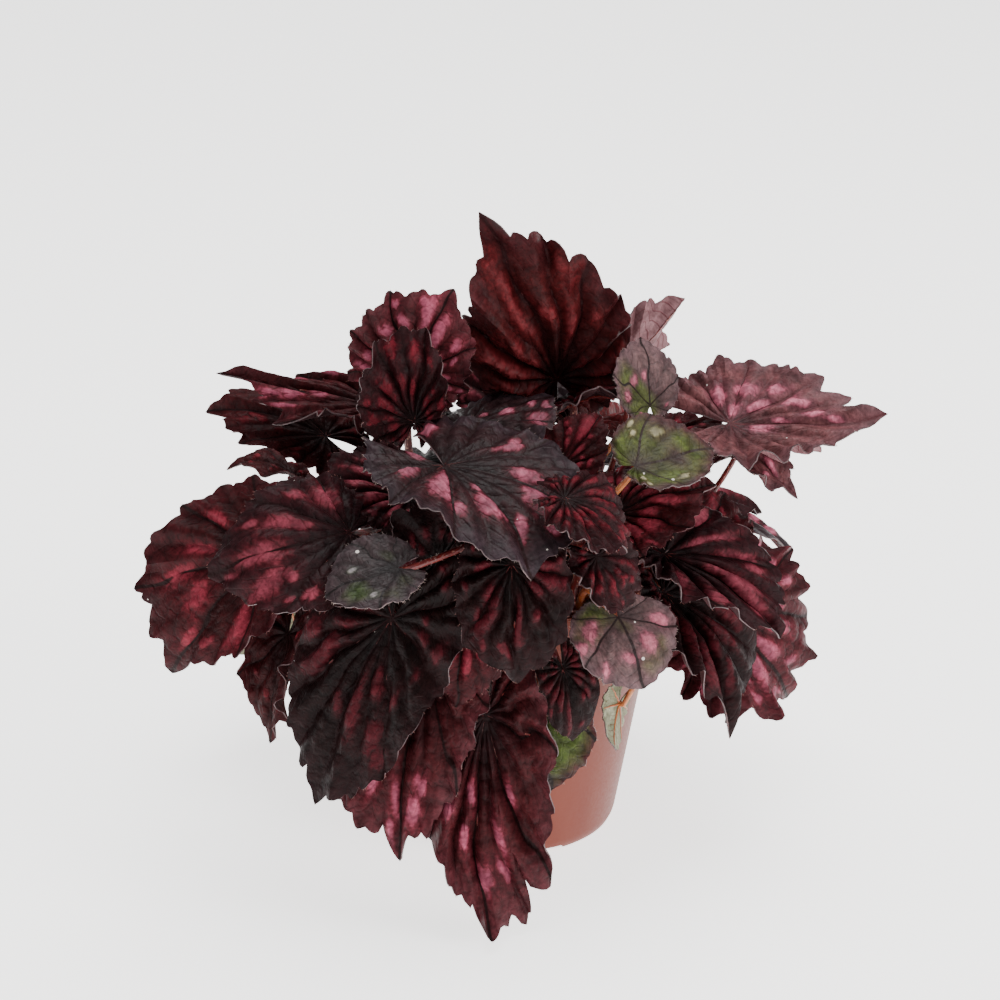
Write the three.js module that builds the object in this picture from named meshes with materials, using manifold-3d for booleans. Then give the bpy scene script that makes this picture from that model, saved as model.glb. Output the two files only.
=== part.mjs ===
// A rex begonia in a plastic nursery pot. Millimetres, +Z up, origin under the middle of the pot,
// front of the plant towards -Y. Each leaf is one body: its petiole and its waved blade.
import * as THREE from "three";
import { mergeVertices } from "three/addons/utils/BufferGeometryUtils.js";
import Module from "manifold-3d";

const wasm = await Module();
wasm.setup();

// Pot: a tapered moulded shell with a rim band, drain holes and a notched foot ring.
const POT_HEIGHT = 105;
const POT_FOOT_RADIUS = 40;
const POT_TOP_RADIUS = 58.6;
const POT_WALL = 1.6;
const POT_FLOOR = 2;
const POT_CORNER_RADIUS = 3;
const POT_SIDES = 32;
const RIM_RADIUS = 60;
const RIM_HEIGHT = 12;
const RIM_STEP = 1;
const FOOT_HEIGHT = 2.5;
const FOOT_INNER_RADIUS = 34;
const FOOT_NOTCHES = 4;
const FOOT_NOTCH_WIDTH = 18;
const FOOT_NOTCH_BEVEL = 1.5;
const FOOT_NOTCH_DEPTH = 2.2;
const FOOT_NOTCH_ANGLE = THREE.MathUtils.degToRad(-72);
const DRAIN_HOLES = 4;
const DRAIN_HOLE_RADIUS = 4;
const DRAIN_HOLE_REACH = 24;
const DRAIN_HOLE_SIDES = 12;

// Soil: fills the pot to a lumpy, slightly domed top.
const CLEARANCE = 0.3;
const SOIL_LEVEL = 92.5;
const SOIL_DOME = 3;
const SOIL_LUMPS = 0.8;
const SOIL_LUMP_SPACING = 3;
const SOIL_RINGS = [0.75, 0.4];
const SOIL_SIDES = 20;
const SOIL_SEED = 5;

// Rhizomes: thick knobbly stems that creep half sunk in the soil.
const RHIZOME_RADIUS = 6.3;
const RHIZOME_LEVEL = 93;
const RHIZOME_KNOB_HEIGHT = 0.6;
const RHIZOME_KNOB_SPACING = 9;
const RHIZOME_SIDES = 8;
const RHIZOME_CAP_STEPS = 2;
const RHIZOMES = [
  { name: "rhizome_long", x: -13, y: -6, azimuth: 25, length: 44 },
  { name: "rhizome_short", x: 17, y: 9, azimuth: -40, length: 34 },
];

// Blades: a heart outline whose lobes meet the petiole at a narrow sinus, and which runs out in a
// drip tip. The longer the drip tip, the narrower it is.
const BLADE_THICKNESS = 0.8;
const SINUS_ANGLE = THREE.MathUtils.degToRad(158);
const HEART_RADIUS = 0.39;
const HEART_SWING = 0.43;
const HEART_RIPPLE = 0.04;
const HEART_REACH = HEART_RADIUS + HEART_SWING + HEART_RIPPLE;
const DRIP_TIP_SPREAD = 0.0336;
const TOOTH_BETWEEN_VEINS = 0.7;
const TOOTH_LEVEL = 0.5;
const TOOTH_SMALLEST = 0.6;
const TOOTH_SPREAD = 0.8;
const TOOTH_DRAW = 50;
const PLEAT_FINE = 0.6;
const PLEAT_COARSE = 0.7;
const PLEAT_RISE = 1.5;
const PLEAT_FALL = 0.7;
const RUFFLES_PER_VEIN = 2;
const RUFFLE_DRAW = 20;

// Rings of points round the joint. reach is a share of the way to the margin, and step is how many
// veins lie between points: half from ring to ring.
const LARGE_BLADE = 50;
const FINE_TEETH = 0.03;
const LARGE_RINGS = [
  { reach: 0.36, step: 1 },
  { reach: 0.72, step: 0.5 },
  { reach: 1, step: 0.25 },
];
const MIDDLE_RINGS = [
  { reach: 0.6, step: 0.5 },
  { reach: 1, step: 0.25 },
];
const SMOOTH_RINGS = [
  { reach: 0.6, step: 1 },
  { reach: 1, step: 0.5 },
];

// Petioles: square in section, they rise from the soil and run into the blade from below.
const PETIOLE_STEPS = 4;
const PETIOLE_FOOT = 88;
const PETIOLE_RISE = 0.45;
const PETIOLE_ARRIVAL = 0.35;
const PETIOLE_LIFT = 0.8;
const PETIOLE_JOINT_BELOW = 0.6;

// Habits of leaf. veins are the main veins on each side of the midrib, petiole is its radius in
// millimetres, bend and cup are the blade's turn along and across, and the rest are shares of its
// length.
const BROAD = {
  veins: 4, petiole: 1.7, width: 0.85, lobe: 0.45, drip: 0.14, skew: 0, sway: 0,
  bend: 0.7, cup: -0.3, pleat: 0.035, ruffle: 0.05, teeth: 0.06,
};
const RUFFLED = {
  veins: 4, petiole: 1.7, width: 0.85, lobe: 0.45, drip: 0.14, skew: 0, sway: 0,
  bend: 0.8, cup: -0.2, pleat: 0.06, ruffle: 0.12, teeth: 0.1,
};
const PLEATED = {
  veins: 4, petiole: 1.7, width: 0.9, lobe: 0.45, drip: 0.14, skew: 0, sway: 0,
  bend: 0.4, cup: 0.3, pleat: 0.09, ruffle: 0.07, teeth: 0.08,
};
const OLD = {
  veins: 3, petiole: 1.3, width: 1.05, lobe: 0.45, drip: 0.14, skew: 0, sway: 0,
  bend: 0.5, cup: 0.3, pleat: 0.02, ruffle: 0.015, teeth: 0.02,
};
const SMALL = {
  veins: 3, petiole: 1.2, width: 0.95, lobe: 0.45, drip: 0.14, skew: 0, sway: 0,
  bend: 0.6, cup: 0.2, pleat: 0.05, ruffle: 0.1, teeth: 0.1,
};

// Colours.
const BLACK = "#2a1d20";
const RED = "#5a2730";
const MAROON = "#43232a";
const MAUVE = "#6b4a50";
const OLIVE = "#66683c";
const PALE = "#9a9684";
const POT_COLOUR = "#b3796e";
const SOIL_COLOUR = "#33261e";
const RHIZOME_COLOUR = "#6a4536";
const LEAF_ROUGHNESS = 0.5;
const POT_ROUGHNESS = 0.45;
const RHIZOME_ROUGHNESS = 0.7;
const SOIL_ROUGHNESS = 1;

// Where each leaf is: root is where the petiole leaves the soil and bow is how far it sways out on
// the way, joint is where the blade begins and tip where it ends, and faces is the way it looks.
const LEAVES = [
  // Top of the plant.
  {
    name: "top_fan", habit: PLEATED, colour: RED, seed: 11,
    root: [11, 0], bow: [0, 4, 7],
    joint: [17, 0, 176], tip: [-10, -8, 240], faces: [0.1, -0.95, 0.05],
    width: 0.74, lobe: 0.35, drip: 0.2, skew: -0.06, sway: 0.1, bend: 0.8, cup: -0.1, pleat: 0.07,
  },
  {
    name: "top_back_pale", habit: SMALL, colour: PALE, seed: 12,
    root: [28, 15], bow: [1, -13, 11],
    joint: [41, 22, 171], tip: [63, 25, 199], faces: [-0.05, 0.65, 0.8],
    width: 0.85, lobe: 0.4, sway: -0.1, bend: -0.15, cup: 1.55,
  },
  {
    name: "top_old", habit: OLD, colour: MAUVE, seed: 13,
    root: [24, -10], bow: [-5, 3, 0],
    joint: [50, -21, 174], tip: [47, -9, 196], faces: [0.4, -0.8, -0.15],
    width: 0.95, lobe: 0.2, skew: 0.1, sway: -0.05, cup: 0.15,
  },
  {
    name: "upper_left", habit: RUFFLED, colour: RED, seed: 18,
    root: [-25, -23], bow: [-10, 5, 2],
    joint: [-35, -24, 187], tip: [-21, -18, 215], faces: [-0.05, -1.15, 0.15],
    width: 1, lobe: 0.6, skew: 0.15, bend: 1, cup: 0, ruffle: 0.07,
  },
  {
    name: "upper_left_front", habit: RUFFLED, colour: BLACK, seed: 19,
    root: [-11, -21], bow: [6, -17, 29],
    joint: [-34, -40, 175], tip: [-30, -33, 206], faces: [0, -0.75, 0.55],
    width: 0.8, lobe: 0.35, skew: 0.4, bend: 0.9, cup: 0.35, ruffle: 0.08,
  },
  {
    name: "upper_inner", habit: SMALL, colour: BLACK, seed: 45,
    root: [-2, 8], bow: [-2, 1, 2],
    joint: [-2, 9, 164], tip: [-18, 15, 182], faces: [0, -0.8, 0.6],
    bend: 0.55, cup: 0.3,
  },
  {
    name: "centre_behind", habit: BROAD, colour: BLACK, seed: 42,
    root: [-4, -11],
    joint: [-15, -32, 171], tip: [15, -15, 176], faces: [0.05, 0.1, 1.1],
    width: 1, lobe: 0.6, skew: -0.15, bend: -0.05, cup: -0.45, ruffle: 0.07,
  },
  {
    name: "top_low_right", habit: RUFFLED, colour: BLACK, seed: 43,
    root: [17, -9],
    joint: [22, -11, 171], tip: [49, -14, 172], faces: [0, 0.2, 1],
    skew: -0.05, bend: 0.95, cup: 0.1,
  },
  {
    name: "inner_right", habit: BROAD, colour: RED, seed: 51,
    root: [15, -24],
    joint: [18, -40, 157], tip: [32, -30, 174], faces: [0, -0.7, 0.7],
    width: 0.8,
  },
  // Right side, from the top down.
  {
    name: "right_long", habit: RUFFLED, colour: MAUVE, seed: 15,
    root: [19, -21], bow: [-3, -15, 11],
    joint: [79, -21, 167], tip: [133, -25, 170], faces: [0, -0.43, 0.9],
    lobe: 0.5, drip: 0.2, skew: 0.05, sway: 0.15, bend: -0.1, cup: 0.8, pleat: 0.04, ruffle: 0.09,
    teeth: 0.14,
  },
  {
    name: "right_folded", habit: SMALL, colour: MAUVE, seed: 16,
    root: [44, 1], bow: [-2, -15, -10],
    joint: [83, -19, 157], tip: [102, -26, 141], faces: [0.4, -0.6, 0.55],
    width: 0.8, lobe: 0.4, drip: 0.2, bend: 0.5, cup: 1.4, ruffle: 0.14, teeth: 0.16,
  },
  {
    name: "right_red", habit: BROAD, colour: RED, seed: 17,
    root: [35, 8], bow: [-6, 6, 9],
    joint: [56, -6, 155], tip: [86, -10, 152], faces: [0.1, -0.5, 0.9],
    width: 0.7, skew: 0.05, bend: 0.6, cup: -0.25, ruffle: 0.08,
  },
  {
    name: "green_oval", habit: OLD, colour: OLIVE, seed: 14,
    root: [4, -30], bow: [-4, -3, -1],
    joint: [43, -63, 167], tip: [71, -48, 167], faces: [0.1, -0.5, 0.95],
    width: 1, lobe: 0.15, skew: 0.15, sway: 0.15, bend: 0.3, cup: 0.65,
  },
  {
    name: "right_backlit", habit: RUFFLED, colour: RED, seed: 41,
    root: [-2, -17], bow: [0, -1, -1],
    joint: [37, -53, 145], tip: [71, -48, 153], faces: [0.05, -0.55, 0.8],
    bend: 0.75, cup: -0.25, ruffle: 0.07,
  },
  {
    name: "right_behind", habit: BROAD, colour: RED, seed: 40,
    root: [31, -8], bow: [-6, -1, 32],
    joint: [66, -40, 127], tip: [78, -22, 140], faces: [0.6, 0.4, 0.8],
    width: 1, skew: -0.1, bend: 1.05, cup: 0.1,
  },
  {
    name: "right_fan", habit: PLEATED, colour: BLACK, seed: 38,
    root: [13, -16], bow: [5, 3, 2],
    joint: [54, -59, 132], tip: [95, -66, 104], faces: [0.3, -0.6, 0.65],
    width: 0.6, lobe: 0.35, skew: 0.25, sway: -0.1, bend: 0.65, cup: 1.2, pleat: 0.07,
  },
  {
    name: "right_lower", habit: PLEATED, colour: BLACK, seed: 38,
    root: [13, -29], bow: [1, 4, 4],
    joint: [55, -45, 111], tip: [80, -56, 62], faces: [0.6, -0.6, 0.55],
    width: 0.72, lobe: 0.5, drip: 0.22, skew: 0.25, sway: -0.1, bend: 0.65, cup: 0.65, teeth: 0.14,
  },
  {
    name: "right_spotted", habit: OLD, colour: MAUVE, seed: 34,
    root: [24, -40], bow: [0, 2, 11],
    joint: [37, -84, 119], tip: [46, -95, 97], faces: [0.45, -0.7, 0.55],
    width: 1.35, lobe: 0.35, skew: -0.15, bend: 0.8, cup: 0.35,
  },
  {
    name: "right_spiky", habit: RUFFLED, colour: RED, seed: 39,
    root: [37, -17], bow: [0, 0, 17],
    joint: [80, -28, 96], tip: [107, -21, 58], faces: [0.45, -0.75, 0.4],
    width: 1.1, lobe: 0.55, skew: 0.05, sway: 0.1, bend: 0.3, cup: -0.3, teeth: 0.22,
  },
  {
    name: "right_under_pale", habit: OLD, colour: PALE, seed: 33,
    root: [18, -29], bow: [16, -5, 22],
    joint: [39, -58, 73], tip: [37, -72, 62], faces: [-0.45, 0.9, 0.45],
    width: 1.1, skew: -0.1, bend: 0.45, cup: 0.4,
  },
  {
    name: "side_right", habit: BROAD, colour: BLACK, seed: 73,
    root: [22, 28],
    joint: [45, 11, 128], tip: [93, 23, 112], faces: [0.5, 0.1, 0.85],
  },
  {
    name: "side_right_low", habit: RUFFLED, colour: RED, seed: 71,
    root: [40, 15], bow: [0, 0, 11],
    joint: [71, 6, 108], tip: [95, 10, 71], faces: [0.65, 0.05, 0.35],
    bend: 0.85, cup: -0.25,
  },
  // Left side, from the top down.
  {
    name: "left_ruffled", habit: RUFFLED, colour: RED, seed: 20,
    root: [-25, 26], bow: [-1, 4, -3],
    joint: [-47, 14, 161], tip: [-105, 17, 173], faces: [0.3, -0.5, 0.95],
    width: 0.5, lobe: 0.2, drip: 0.2, skew: 0.05, sway: 0.05, bend: -0.3, cup: -0.5, ruffle: 0.16,
    teeth: 0.2,
  },
  {
    name: "left_maroon", habit: BROAD, colour: MAROON, seed: 21,
    root: [-28, 16], bow: [3, 8, 4],
    joint: [-70, 29, 143], tip: [-114, 36, 151], faces: [-0.1, -0.6, 0.95],
    width: 0.6, lobe: 0.5, skew: -0.05, bend: 0.9, cup: -0.35, teeth: 0.12,
  },
  {
    name: "left_small_ruffled", habit: SMALL, colour: BLACK, seed: 46,
    root: [-15, 4], bow: [-2, -11, -2],
    joint: [-41, -3, 165], tip: [-55, 5, 176], faces: [-0.2, -0.6, 0.7],
    bend: 0.65, cup: 0.15, ruffle: 0.16,
  },
  {
    name: "left_tips", habit: SMALL, colour: MAROON, seed: 22,
    root: [-42, -14], bow: [3, -8, -2],
    joint: [-79, -23, 148], tip: [-102, -24, 152], faces: [0, -0.05, 1.05],
    width: 0.6, skew: -0.05, sway: 0.05, bend: 0.95, cup: 0.3,
  },
  {
    name: "left_inner", habit: RUFFLED, colour: RED, seed: 23,
    root: [-19, -29],
    joint: [-35, -58, 153], tip: [-69, -52, 158], faces: [-0.1, -0.55, 0.8],
    width: 0.75, lobe: 0.35, sway: -0.05, bend: 0.7, cup: -0.15, pleat: 0.08,
  },
  {
    name: "left_pink", habit: BROAD, colour: BLACK, seed: 24,
    root: [-8, -31], bow: [-3, 18, 6],
    joint: [-55, -92, 154], tip: [-100, -105, 144], faces: [-0.25, -0.8, 0.55],
    width: 0.75, lobe: 0.35, skew: 0.05, sway: -0.1, bend: 1.55, cup: -0.55, ruffle: 0.04,
  },
  {
    name: "left_outer", habit: BROAD, colour: RED, seed: 25,
    root: [-35, -26], bow: [6, 10, 9],
    joint: [-87, -58, 131], tip: [-122, -58, 87], faces: [-0.3, -0.85, 0.45],
    width: 0.8, lobe: 0.4, skew: -0.25, bend: 0.6, cup: 0.25, teeth: 0.1,
  },
  {
    name: "left_pale_under", habit: OLD, colour: PALE, seed: 47,
    root: [-38, -22], bow: [3, -8, 15],
    joint: [-81, -32, 103], tip: [-102, -33, 81], faces: [-0.1, 0.95, 0.35],
  },
  {
    name: "left_rolled", habit: SMALL, colour: MAROON, seed: 48,
    root: [-30, -24], bow: [1, -1, 8],
    joint: [-79, -63, 103], tip: [-84, -68, 65], faces: [-0.65, -0.7, 0.2],
    width: 0.6, bend: 0.65, cup: 3,
  },
  {
    name: "inner_left", habit: RUFFLED, colour: BLACK, seed: 52,
    root: [-13, -29],
    joint: [-27, -55, 130], tip: [-43, -63, 126], faces: [-0.2, -0.75, 0.6],
    width: 0.75,
  },
  {
    name: "side_left", habit: RUFFLED, colour: BLACK, seed: 74,
    root: [-26, 1], bow: [-1, -1, 0],
    joint: [-52, 3, 123], tip: [-98, 7, 109], faces: [-0.55, 0.1, 0.85],
  },
  {
    name: "side_left_low", habit: BROAD, colour: RED, seed: 72,
    root: [-32, 5], bow: [-1, -1, 8],
    joint: [-79, 11, 108], tip: [-108, 13, 72], faces: [-0.9, -0.35, 0.2],
    width: 0.8, bend: 0.8, cup: 0,
  },
  // Front, from the top down.
  {
    name: "centre_heart", habit: BROAD, colour: BLACK, seed: 26,
    root: [-1, -27], bow: [2, -3, 2],
    joint: [-23, -78, 173], tip: [7, -112, 147], faces: [0.25, -0.3, 0.9],
    width: 0.95, lobe: 0.6, skew: 0.15, sway: -0.3, bend: 0.65, cup: 0,
  },
  {
    name: "centre_right", habit: RUFFLED, colour: BLACK, seed: 36,
    root: [16, -42], bow: [22, 1, 26],
    joint: [18, -96, 168], tip: [37, -97, 149], faces: [0, -0.3, 0.95],
    width: 0.95, lobe: 0.4, skew: 0.1, bend: 1.1, cup: -0.35,
  },
  {
    name: "young_ruffled", habit: SMALL, colour: RED, seed: 35,
    root: [9, -41], bow: [-5, -4, -2],
    joint: [29, -91, 145], tip: [41, -91, 126], faces: [0.1, -0.65, 0.75],
    bend: 0.55, ruffle: 0.16,
  },
  {
    name: "centre_left_ruffled", habit: SMALL, colour: RED, seed: 44,
    root: [-15, -34], bow: [9, 0, 0],
    joint: [-25, -77, 138], tip: [-40, -82, 157], faces: [-0.2, -0.7, 0.65],
    width: 1.15, lobe: 0.5, sway: -0.05, cup: 0.15, ruffle: 0.14,
  },
  {
    name: "small_olive", habit: OLD, colour: OLIVE, seed: 27,
    root: [-8, -37], bow: [31, 2, 26],
    joint: [-38, -113, 150], tip: [-62, -119, 142], faces: [0, -0.5, 0.85],
    width: 0.95, lobe: 0.35, skew: -0.05, cup: 0.25,
  },
  {
    name: "front_centre", habit: RUFFLED, colour: BLACK, seed: 49,
    root: [0, -46], bow: [1, 0, 0],
    joint: [0, -100, 146], tip: [2, -106, 107], faces: [0, -0.85, 0.55],
    width: 0.8, ruffle: 0.08,
  },
  {
    name: "front_centre_left", habit: BROAD, colour: RED, seed: 50,
    root: [-4, -41], bow: [2, -2, 1],
    joint: [-14, -90, 129], tip: [-19, -98, 92], faces: [-0.15, -0.9, 0.3],
    width: 0.7, sway: -0.05,
  },
  {
    name: "front_left_dark", habit: BROAD, colour: BLACK, seed: 28,
    root: [-37, -17], bow: [-18, 0, 13],
    joint: [-41, -89, 121], tip: [-68, -93, 52], faces: [-0.5, -0.75, 0.15],
    width: 0.6, lobe: 0.55, skew: 0.05, sway: 0.1, bend: 0.3, cup: 0, ruffle: 0.03,
  },
  {
    name: "front_left_pink", habit: RUFFLED, colour: MAUVE, seed: 29,
    root: [-12, -41], bow: [-1, 1, 16],
    joint: [-28, -86, 100], tip: [-40, -106, 39], faces: [-0.3, -0.85, 0.35],
    width: 0.6, lobe: 0.5, drip: 0.08, skew: -0.15, sway: 0.15, bend: 0.15, cup: -0.35, pleat: 0.04,
    ruffle: 0.07,
  },
  {
    name: "front_right_dark", habit: BROAD, colour: RED, seed: 32,
    root: [1, -39], bow: [0, -2, 16],
    joint: [18, -83, 99], tip: [22, -84, 71], faces: [0.35, -0.7, 0.35],
    width: 0.65, lobe: 0.4, sway: -0.05, cup: -0.25,
  },
  {
    name: "front_green", habit: OLD, colour: OLIVE, seed: 31,
    root: [17, -34], bow: [3, -9, 28],
    joint: [8, -77, 82], tip: [14, -73, 46], faces: [-0.05, -1.05, 0.1],
    width: 1, lobe: 0.4, skew: -0.1, bend: 0.55, cup: 0.35, teeth: 0.06,
  },
  {
    name: "front_hanging", habit: RUFFLED, colour: RED, seed: 30,
    root: [-18, -38], bow: [-10, -12, 30],
    joint: [-9, -85, 82], tip: [-7, -102, 5], faces: [-0.05, -1, 0.1],
    width: 0.46, lobe: 0.3, drip: 0.07, skew: 0.25, sway: 0.2, bend: -0.25, cup: 0.55, pleat: 0.05,
    ruffle: 0.09,
  },
  // Back, from the top down.
  {
    name: "back_upper", habit: RUFFLED, colour: BLACK, seed: 67,
    root: [-11, 9], bow: [-6, -10, 13],
    joint: [0, 34, 162], tip: [3, 84, 144], faces: [0, 0.4, 0.85],
    bend: 0.7,
  },
  {
    name: "back_upper_left", habit: BROAD, colour: RED, seed: 68,
    root: [-11, 15], bow: [-6, -5, 0],
    joint: [-19, 32, 148], tip: [-55, 66, 134], faces: [0, 0.35, 0.95],
    bend: 0.65, cup: -0.2,
  },
  {
    name: "back_upper_right", habit: PLEATED, colour: RED, seed: 66,
    root: [19, 24],
    joint: [23, 27, 149], tip: [56, 66, 132], faces: [0.3, 0.2, 0.95],
  },
  {
    name: "back_left", habit: BROAD, colour: BLACK, seed: 64,
    root: [-16, 26], bow: [-3, -3, 4],
    joint: [-34, 61, 121], tip: [-66, 106, 96], faces: [-0.2, 0.6, 1],
    bend: 0.65,
  },
  {
    name: "back_right", habit: RUFFLED, colour: BLACK, seed: 62,
    root: [14, 25], bow: [0, 0, 1],
    joint: [36, 64, 120], tip: [63, 106, 96], faces: [0.05, 0.45, 0.9],
    cup: 0,
  },
  {
    name: "back_right_low", habit: BROAD, colour: BLACK, seed: 61,
    root: [35, 13], bow: [0, 0, 8],
    joint: [64, 34, 118], tip: [108, 57, 82], faces: [0.55, 0.3, 0.8],
  },
  {
    name: "back_middle", habit: BROAD, colour: RED, seed: 63,
    root: [26, 41], bow: [-10, -5, 16],
    joint: [1, 87, 99], tip: [-1, 127, 42], faces: [0.05, 0.95, 0.6],
    bend: 0.55, cup: -0.25,
  },
  {
    name: "back_left_low", habit: RUFFLED, colour: MAUVE, seed: 65,
    root: [-31, 25], bow: [-3, 3, 13],
    joint: [-83, 56, 99], tip: [-118, 66, 54], faces: [-0.65, 0.55, 0.65],
    bend: 0.2, cup: -0.25,
  },
  {
    name: "back_hanging_left", habit: PLEATED, colour: BLACK, seed: 70,
    root: [5, 39], bow: [-10, 2, 24],
    joint: [-60, 49, 92], tip: [-63, 62, 23], faces: [-0.6, 0.75, 0.2],
    bend: 0.3,
  },
  {
    name: "back_hanging_right", habit: BROAD, colour: RED, seed: 69,
    root: [-2, 20], bow: [6, 16, 29],
    joint: [44, 69, 79], tip: [48, 76, 19], faces: [0.75, 0.7, 0.2],
    width: 0.9, bend: 0.25, cup: 0.15,
  },
];

// A repeatable draw between 0 and 1 for each seed and index.
const DRAW_SEED_STEP = 78.233;
const DRAW_INDEX_STEP = 12.9898;
const DRAW_SPREAD = 43758.5453;

function randomAt(seed, index) {
  const wave = Math.sin(seed * DRAW_SEED_STEP + index * DRAW_INDEX_STEP) * DRAW_SPREAD;
  return wave - Math.floor(wave);
}

// The same draws joined by a smooth wave between -1 and 1.
function smoothRandom(seed, place) {
  const start = Math.floor(place);
  const blend = (1 - Math.cos(Math.PI * (place - start))) / 2;
  return 2 * THREE.MathUtils.lerp(randomAt(seed, start), randomAt(seed, start + 1), blend) - 1;
}

function toSolid(geometry) {
  const bare = geometry.clone();
  bare.deleteAttribute("normal");
  bare.deleteAttribute("uv");
  const merged = mergeVertices(bare);
  return new wasm.Manifold(new wasm.Mesh({
    numProp: 3,
    vertProperties: new Float32Array(merged.attributes.position.array),
    triVerts: new Uint32Array(merged.index.array),
  }));
}

function toGeometry(solid) {
  const mesh = solid.getMesh();
  const geometry = new THREE.BufferGeometry();
  geometry.setAttribute("position", new THREE.BufferAttribute(mesh.vertProperties, 3));
  geometry.setIndex(new THREE.BufferAttribute(mesh.triVerts, 1));
  geometry.computeVertexNormals();
  return geometry;
}

function subtractAll(solid, cutters) {
  let rest = solid;
  for (const cutter of cutters) {
    rest = rest.subtract(cutter);
  }
  return rest;
}

// A solid of revolution about Z from a list of [radius, height] points.
function turned(profile, sides) {
  const points = profile.map(([radius, height]) => new THREE.Vector2(radius, height));
  return new THREE.LatheGeometry(points, sides).rotateX(Math.PI / 2);
}

// The blade's own frame: along from joint to tip, up the way the upper face looks, across to the
// left. The length is measured over the arch of the midrib.
function makeLeaf(row) {
  const leaf = { ...row.habit, ...row };
  leaf.joint = new THREE.Vector3(...row.joint);
  leaf.along = new THREE.Vector3(...row.tip).sub(leaf.joint);
  leaf.span = leaf.along.length();
  leaf.along.normalize();
  leaf.up = new THREE.Vector3(...row.faces);
  leaf.up.addScaledVector(leaf.along, -leaf.up.dot(leaf.along)).normalize();
  leaf.across = leaf.up.clone().cross(leaf.along);
  leaf.length = leaf.span * (leaf.bend / 2) / Math.sin(leaf.bend / 2);
  leaf.jointNormal = leaf.up.clone().applyAxisAngle(leaf.across, -leaf.bend / 2);
  leaf.ahead = leaf.along.clone().applyAxisAngle(leaf.across, -leaf.bend / 2);
  leaf.rings = leaf.span > LARGE_BLADE ? LARGE_RINGS : MIDDLE_RINGS;
  if (leaf.teeth < FINE_TEETH) {
    leaf.rings = SMOOTH_RINGS;
  }
  return leaf;
}

// The margin, as [along, across] shares of the length. vein runs from -veins to veins, with the
// midrib at 0, and each vein ends in a tooth, with a smaller tooth between.
function margin(leaf, vein) {
  const angle = (vein / leaf.veins) * SINUS_ANGLE;
  const lobe = leaf.lobe / 2;
  const heart = HEART_RADIUS + lobe + (HEART_SWING - lobe) * Math.cos(angle)
    + HEART_RIPPLE * Math.cos(2 * angle);
  const drip = leaf.drip * Math.exp(-Math.abs(leaf.drip * angle) / DRIP_TIP_SPREAD);
  const outline = heart * (1 - leaf.drip) / HEART_REACH + drip;
  const onVein = Math.cos(Math.PI * vein) ** 8;
  const between = Math.sin(Math.PI * vein) ** 8;
  const tooth = onVein + TOOTH_BETWEEN_VEINS * between - TOOTH_LEVEL;
  const size = TOOTH_SMALLEST
    + TOOTH_SPREAD * randomAt(leaf.seed, Math.round(vein * 2) + TOOTH_DRAW);
  const radius = outline * (1 + leaf.skew * Math.sin(angle)) * (1 + leaf.teeth * tooth * size);
  return [radius * Math.cos(angle), radius * Math.sin(angle) * leaf.width];
}

// How far the blade stands out of its smooth arch: pleats between veins and ruffles at the margin.
function relief(leaf, vein, reach) {
  const fine = Math.sin(2 * Math.PI * vein) ** 2;
  const coarse = Math.sin(Math.PI * vein) ** 2;
  const pleats = PLEAT_FINE * fine * reach ** 2
    + PLEAT_COARSE * coarse * reach * (PLEAT_RISE - PLEAT_FALL * reach);
  const ruffles = reach ** 4 * smoothRandom(leaf.seed, vein * RUFFLES_PER_VEIN + RUFFLE_DRAW);
  return (leaf.pleat * pleats + leaf.ruffle * ruffles) * leaf.length;
}

// A point of the blade's middle surface: the flat outline is rolled across, then arched along.
function bladePoint(leaf, vein, reach) {
  const [ahead, aside] = margin(leaf, vein);
  const share = ahead * reach;
  const swing = share > 0 ? leaf.sway * share * (share - 1) : 0;
  const flatAcross = (aside * reach + swing) * leaf.length;
  const height = relief(leaf, vein, reach);
  const curl = (leaf.cup / leaf.length) || Number.EPSILON;
  const roll = curl * flatAcross;
  const side = Math.sin(roll) / curl - Math.sin(roll) * height;
  const rise = (1 - Math.cos(roll)) / curl + Math.cos(roll) * height;
  const turn = leaf.bend * (0.5 - share);
  const arch = leaf.length / leaf.bend;
  const forward = arch * (Math.sin(leaf.bend / 2) - Math.sin(turn)) - Math.sin(turn) * rise;
  const lift = arch * (Math.cos(turn) - Math.cos(leaf.bend / 2)) + Math.cos(turn) * rise;
  return leaf.joint.clone()
    .addScaledVector(leaf.along, forward)
    .addScaledVector(leaf.across, side)
    .addScaledVector(leaf.up, lift);
}

const NORMAL_VEIN_STEP = 0.06;
const NORMAL_REACH_STEP = 0.03;

function bladeNormal(leaf, vein, reach) {
  const around = bladePoint(leaf, vein + NORMAL_VEIN_STEP, reach)
    .sub(bladePoint(leaf, vein - NORMAL_VEIN_STEP, reach));
  const outward = bladePoint(leaf, vein, reach + NORMAL_REACH_STEP)
    .sub(bladePoint(leaf, vein, reach - NORMAL_REACH_STEP));
  return outward.cross(around).normalize();
}

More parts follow.
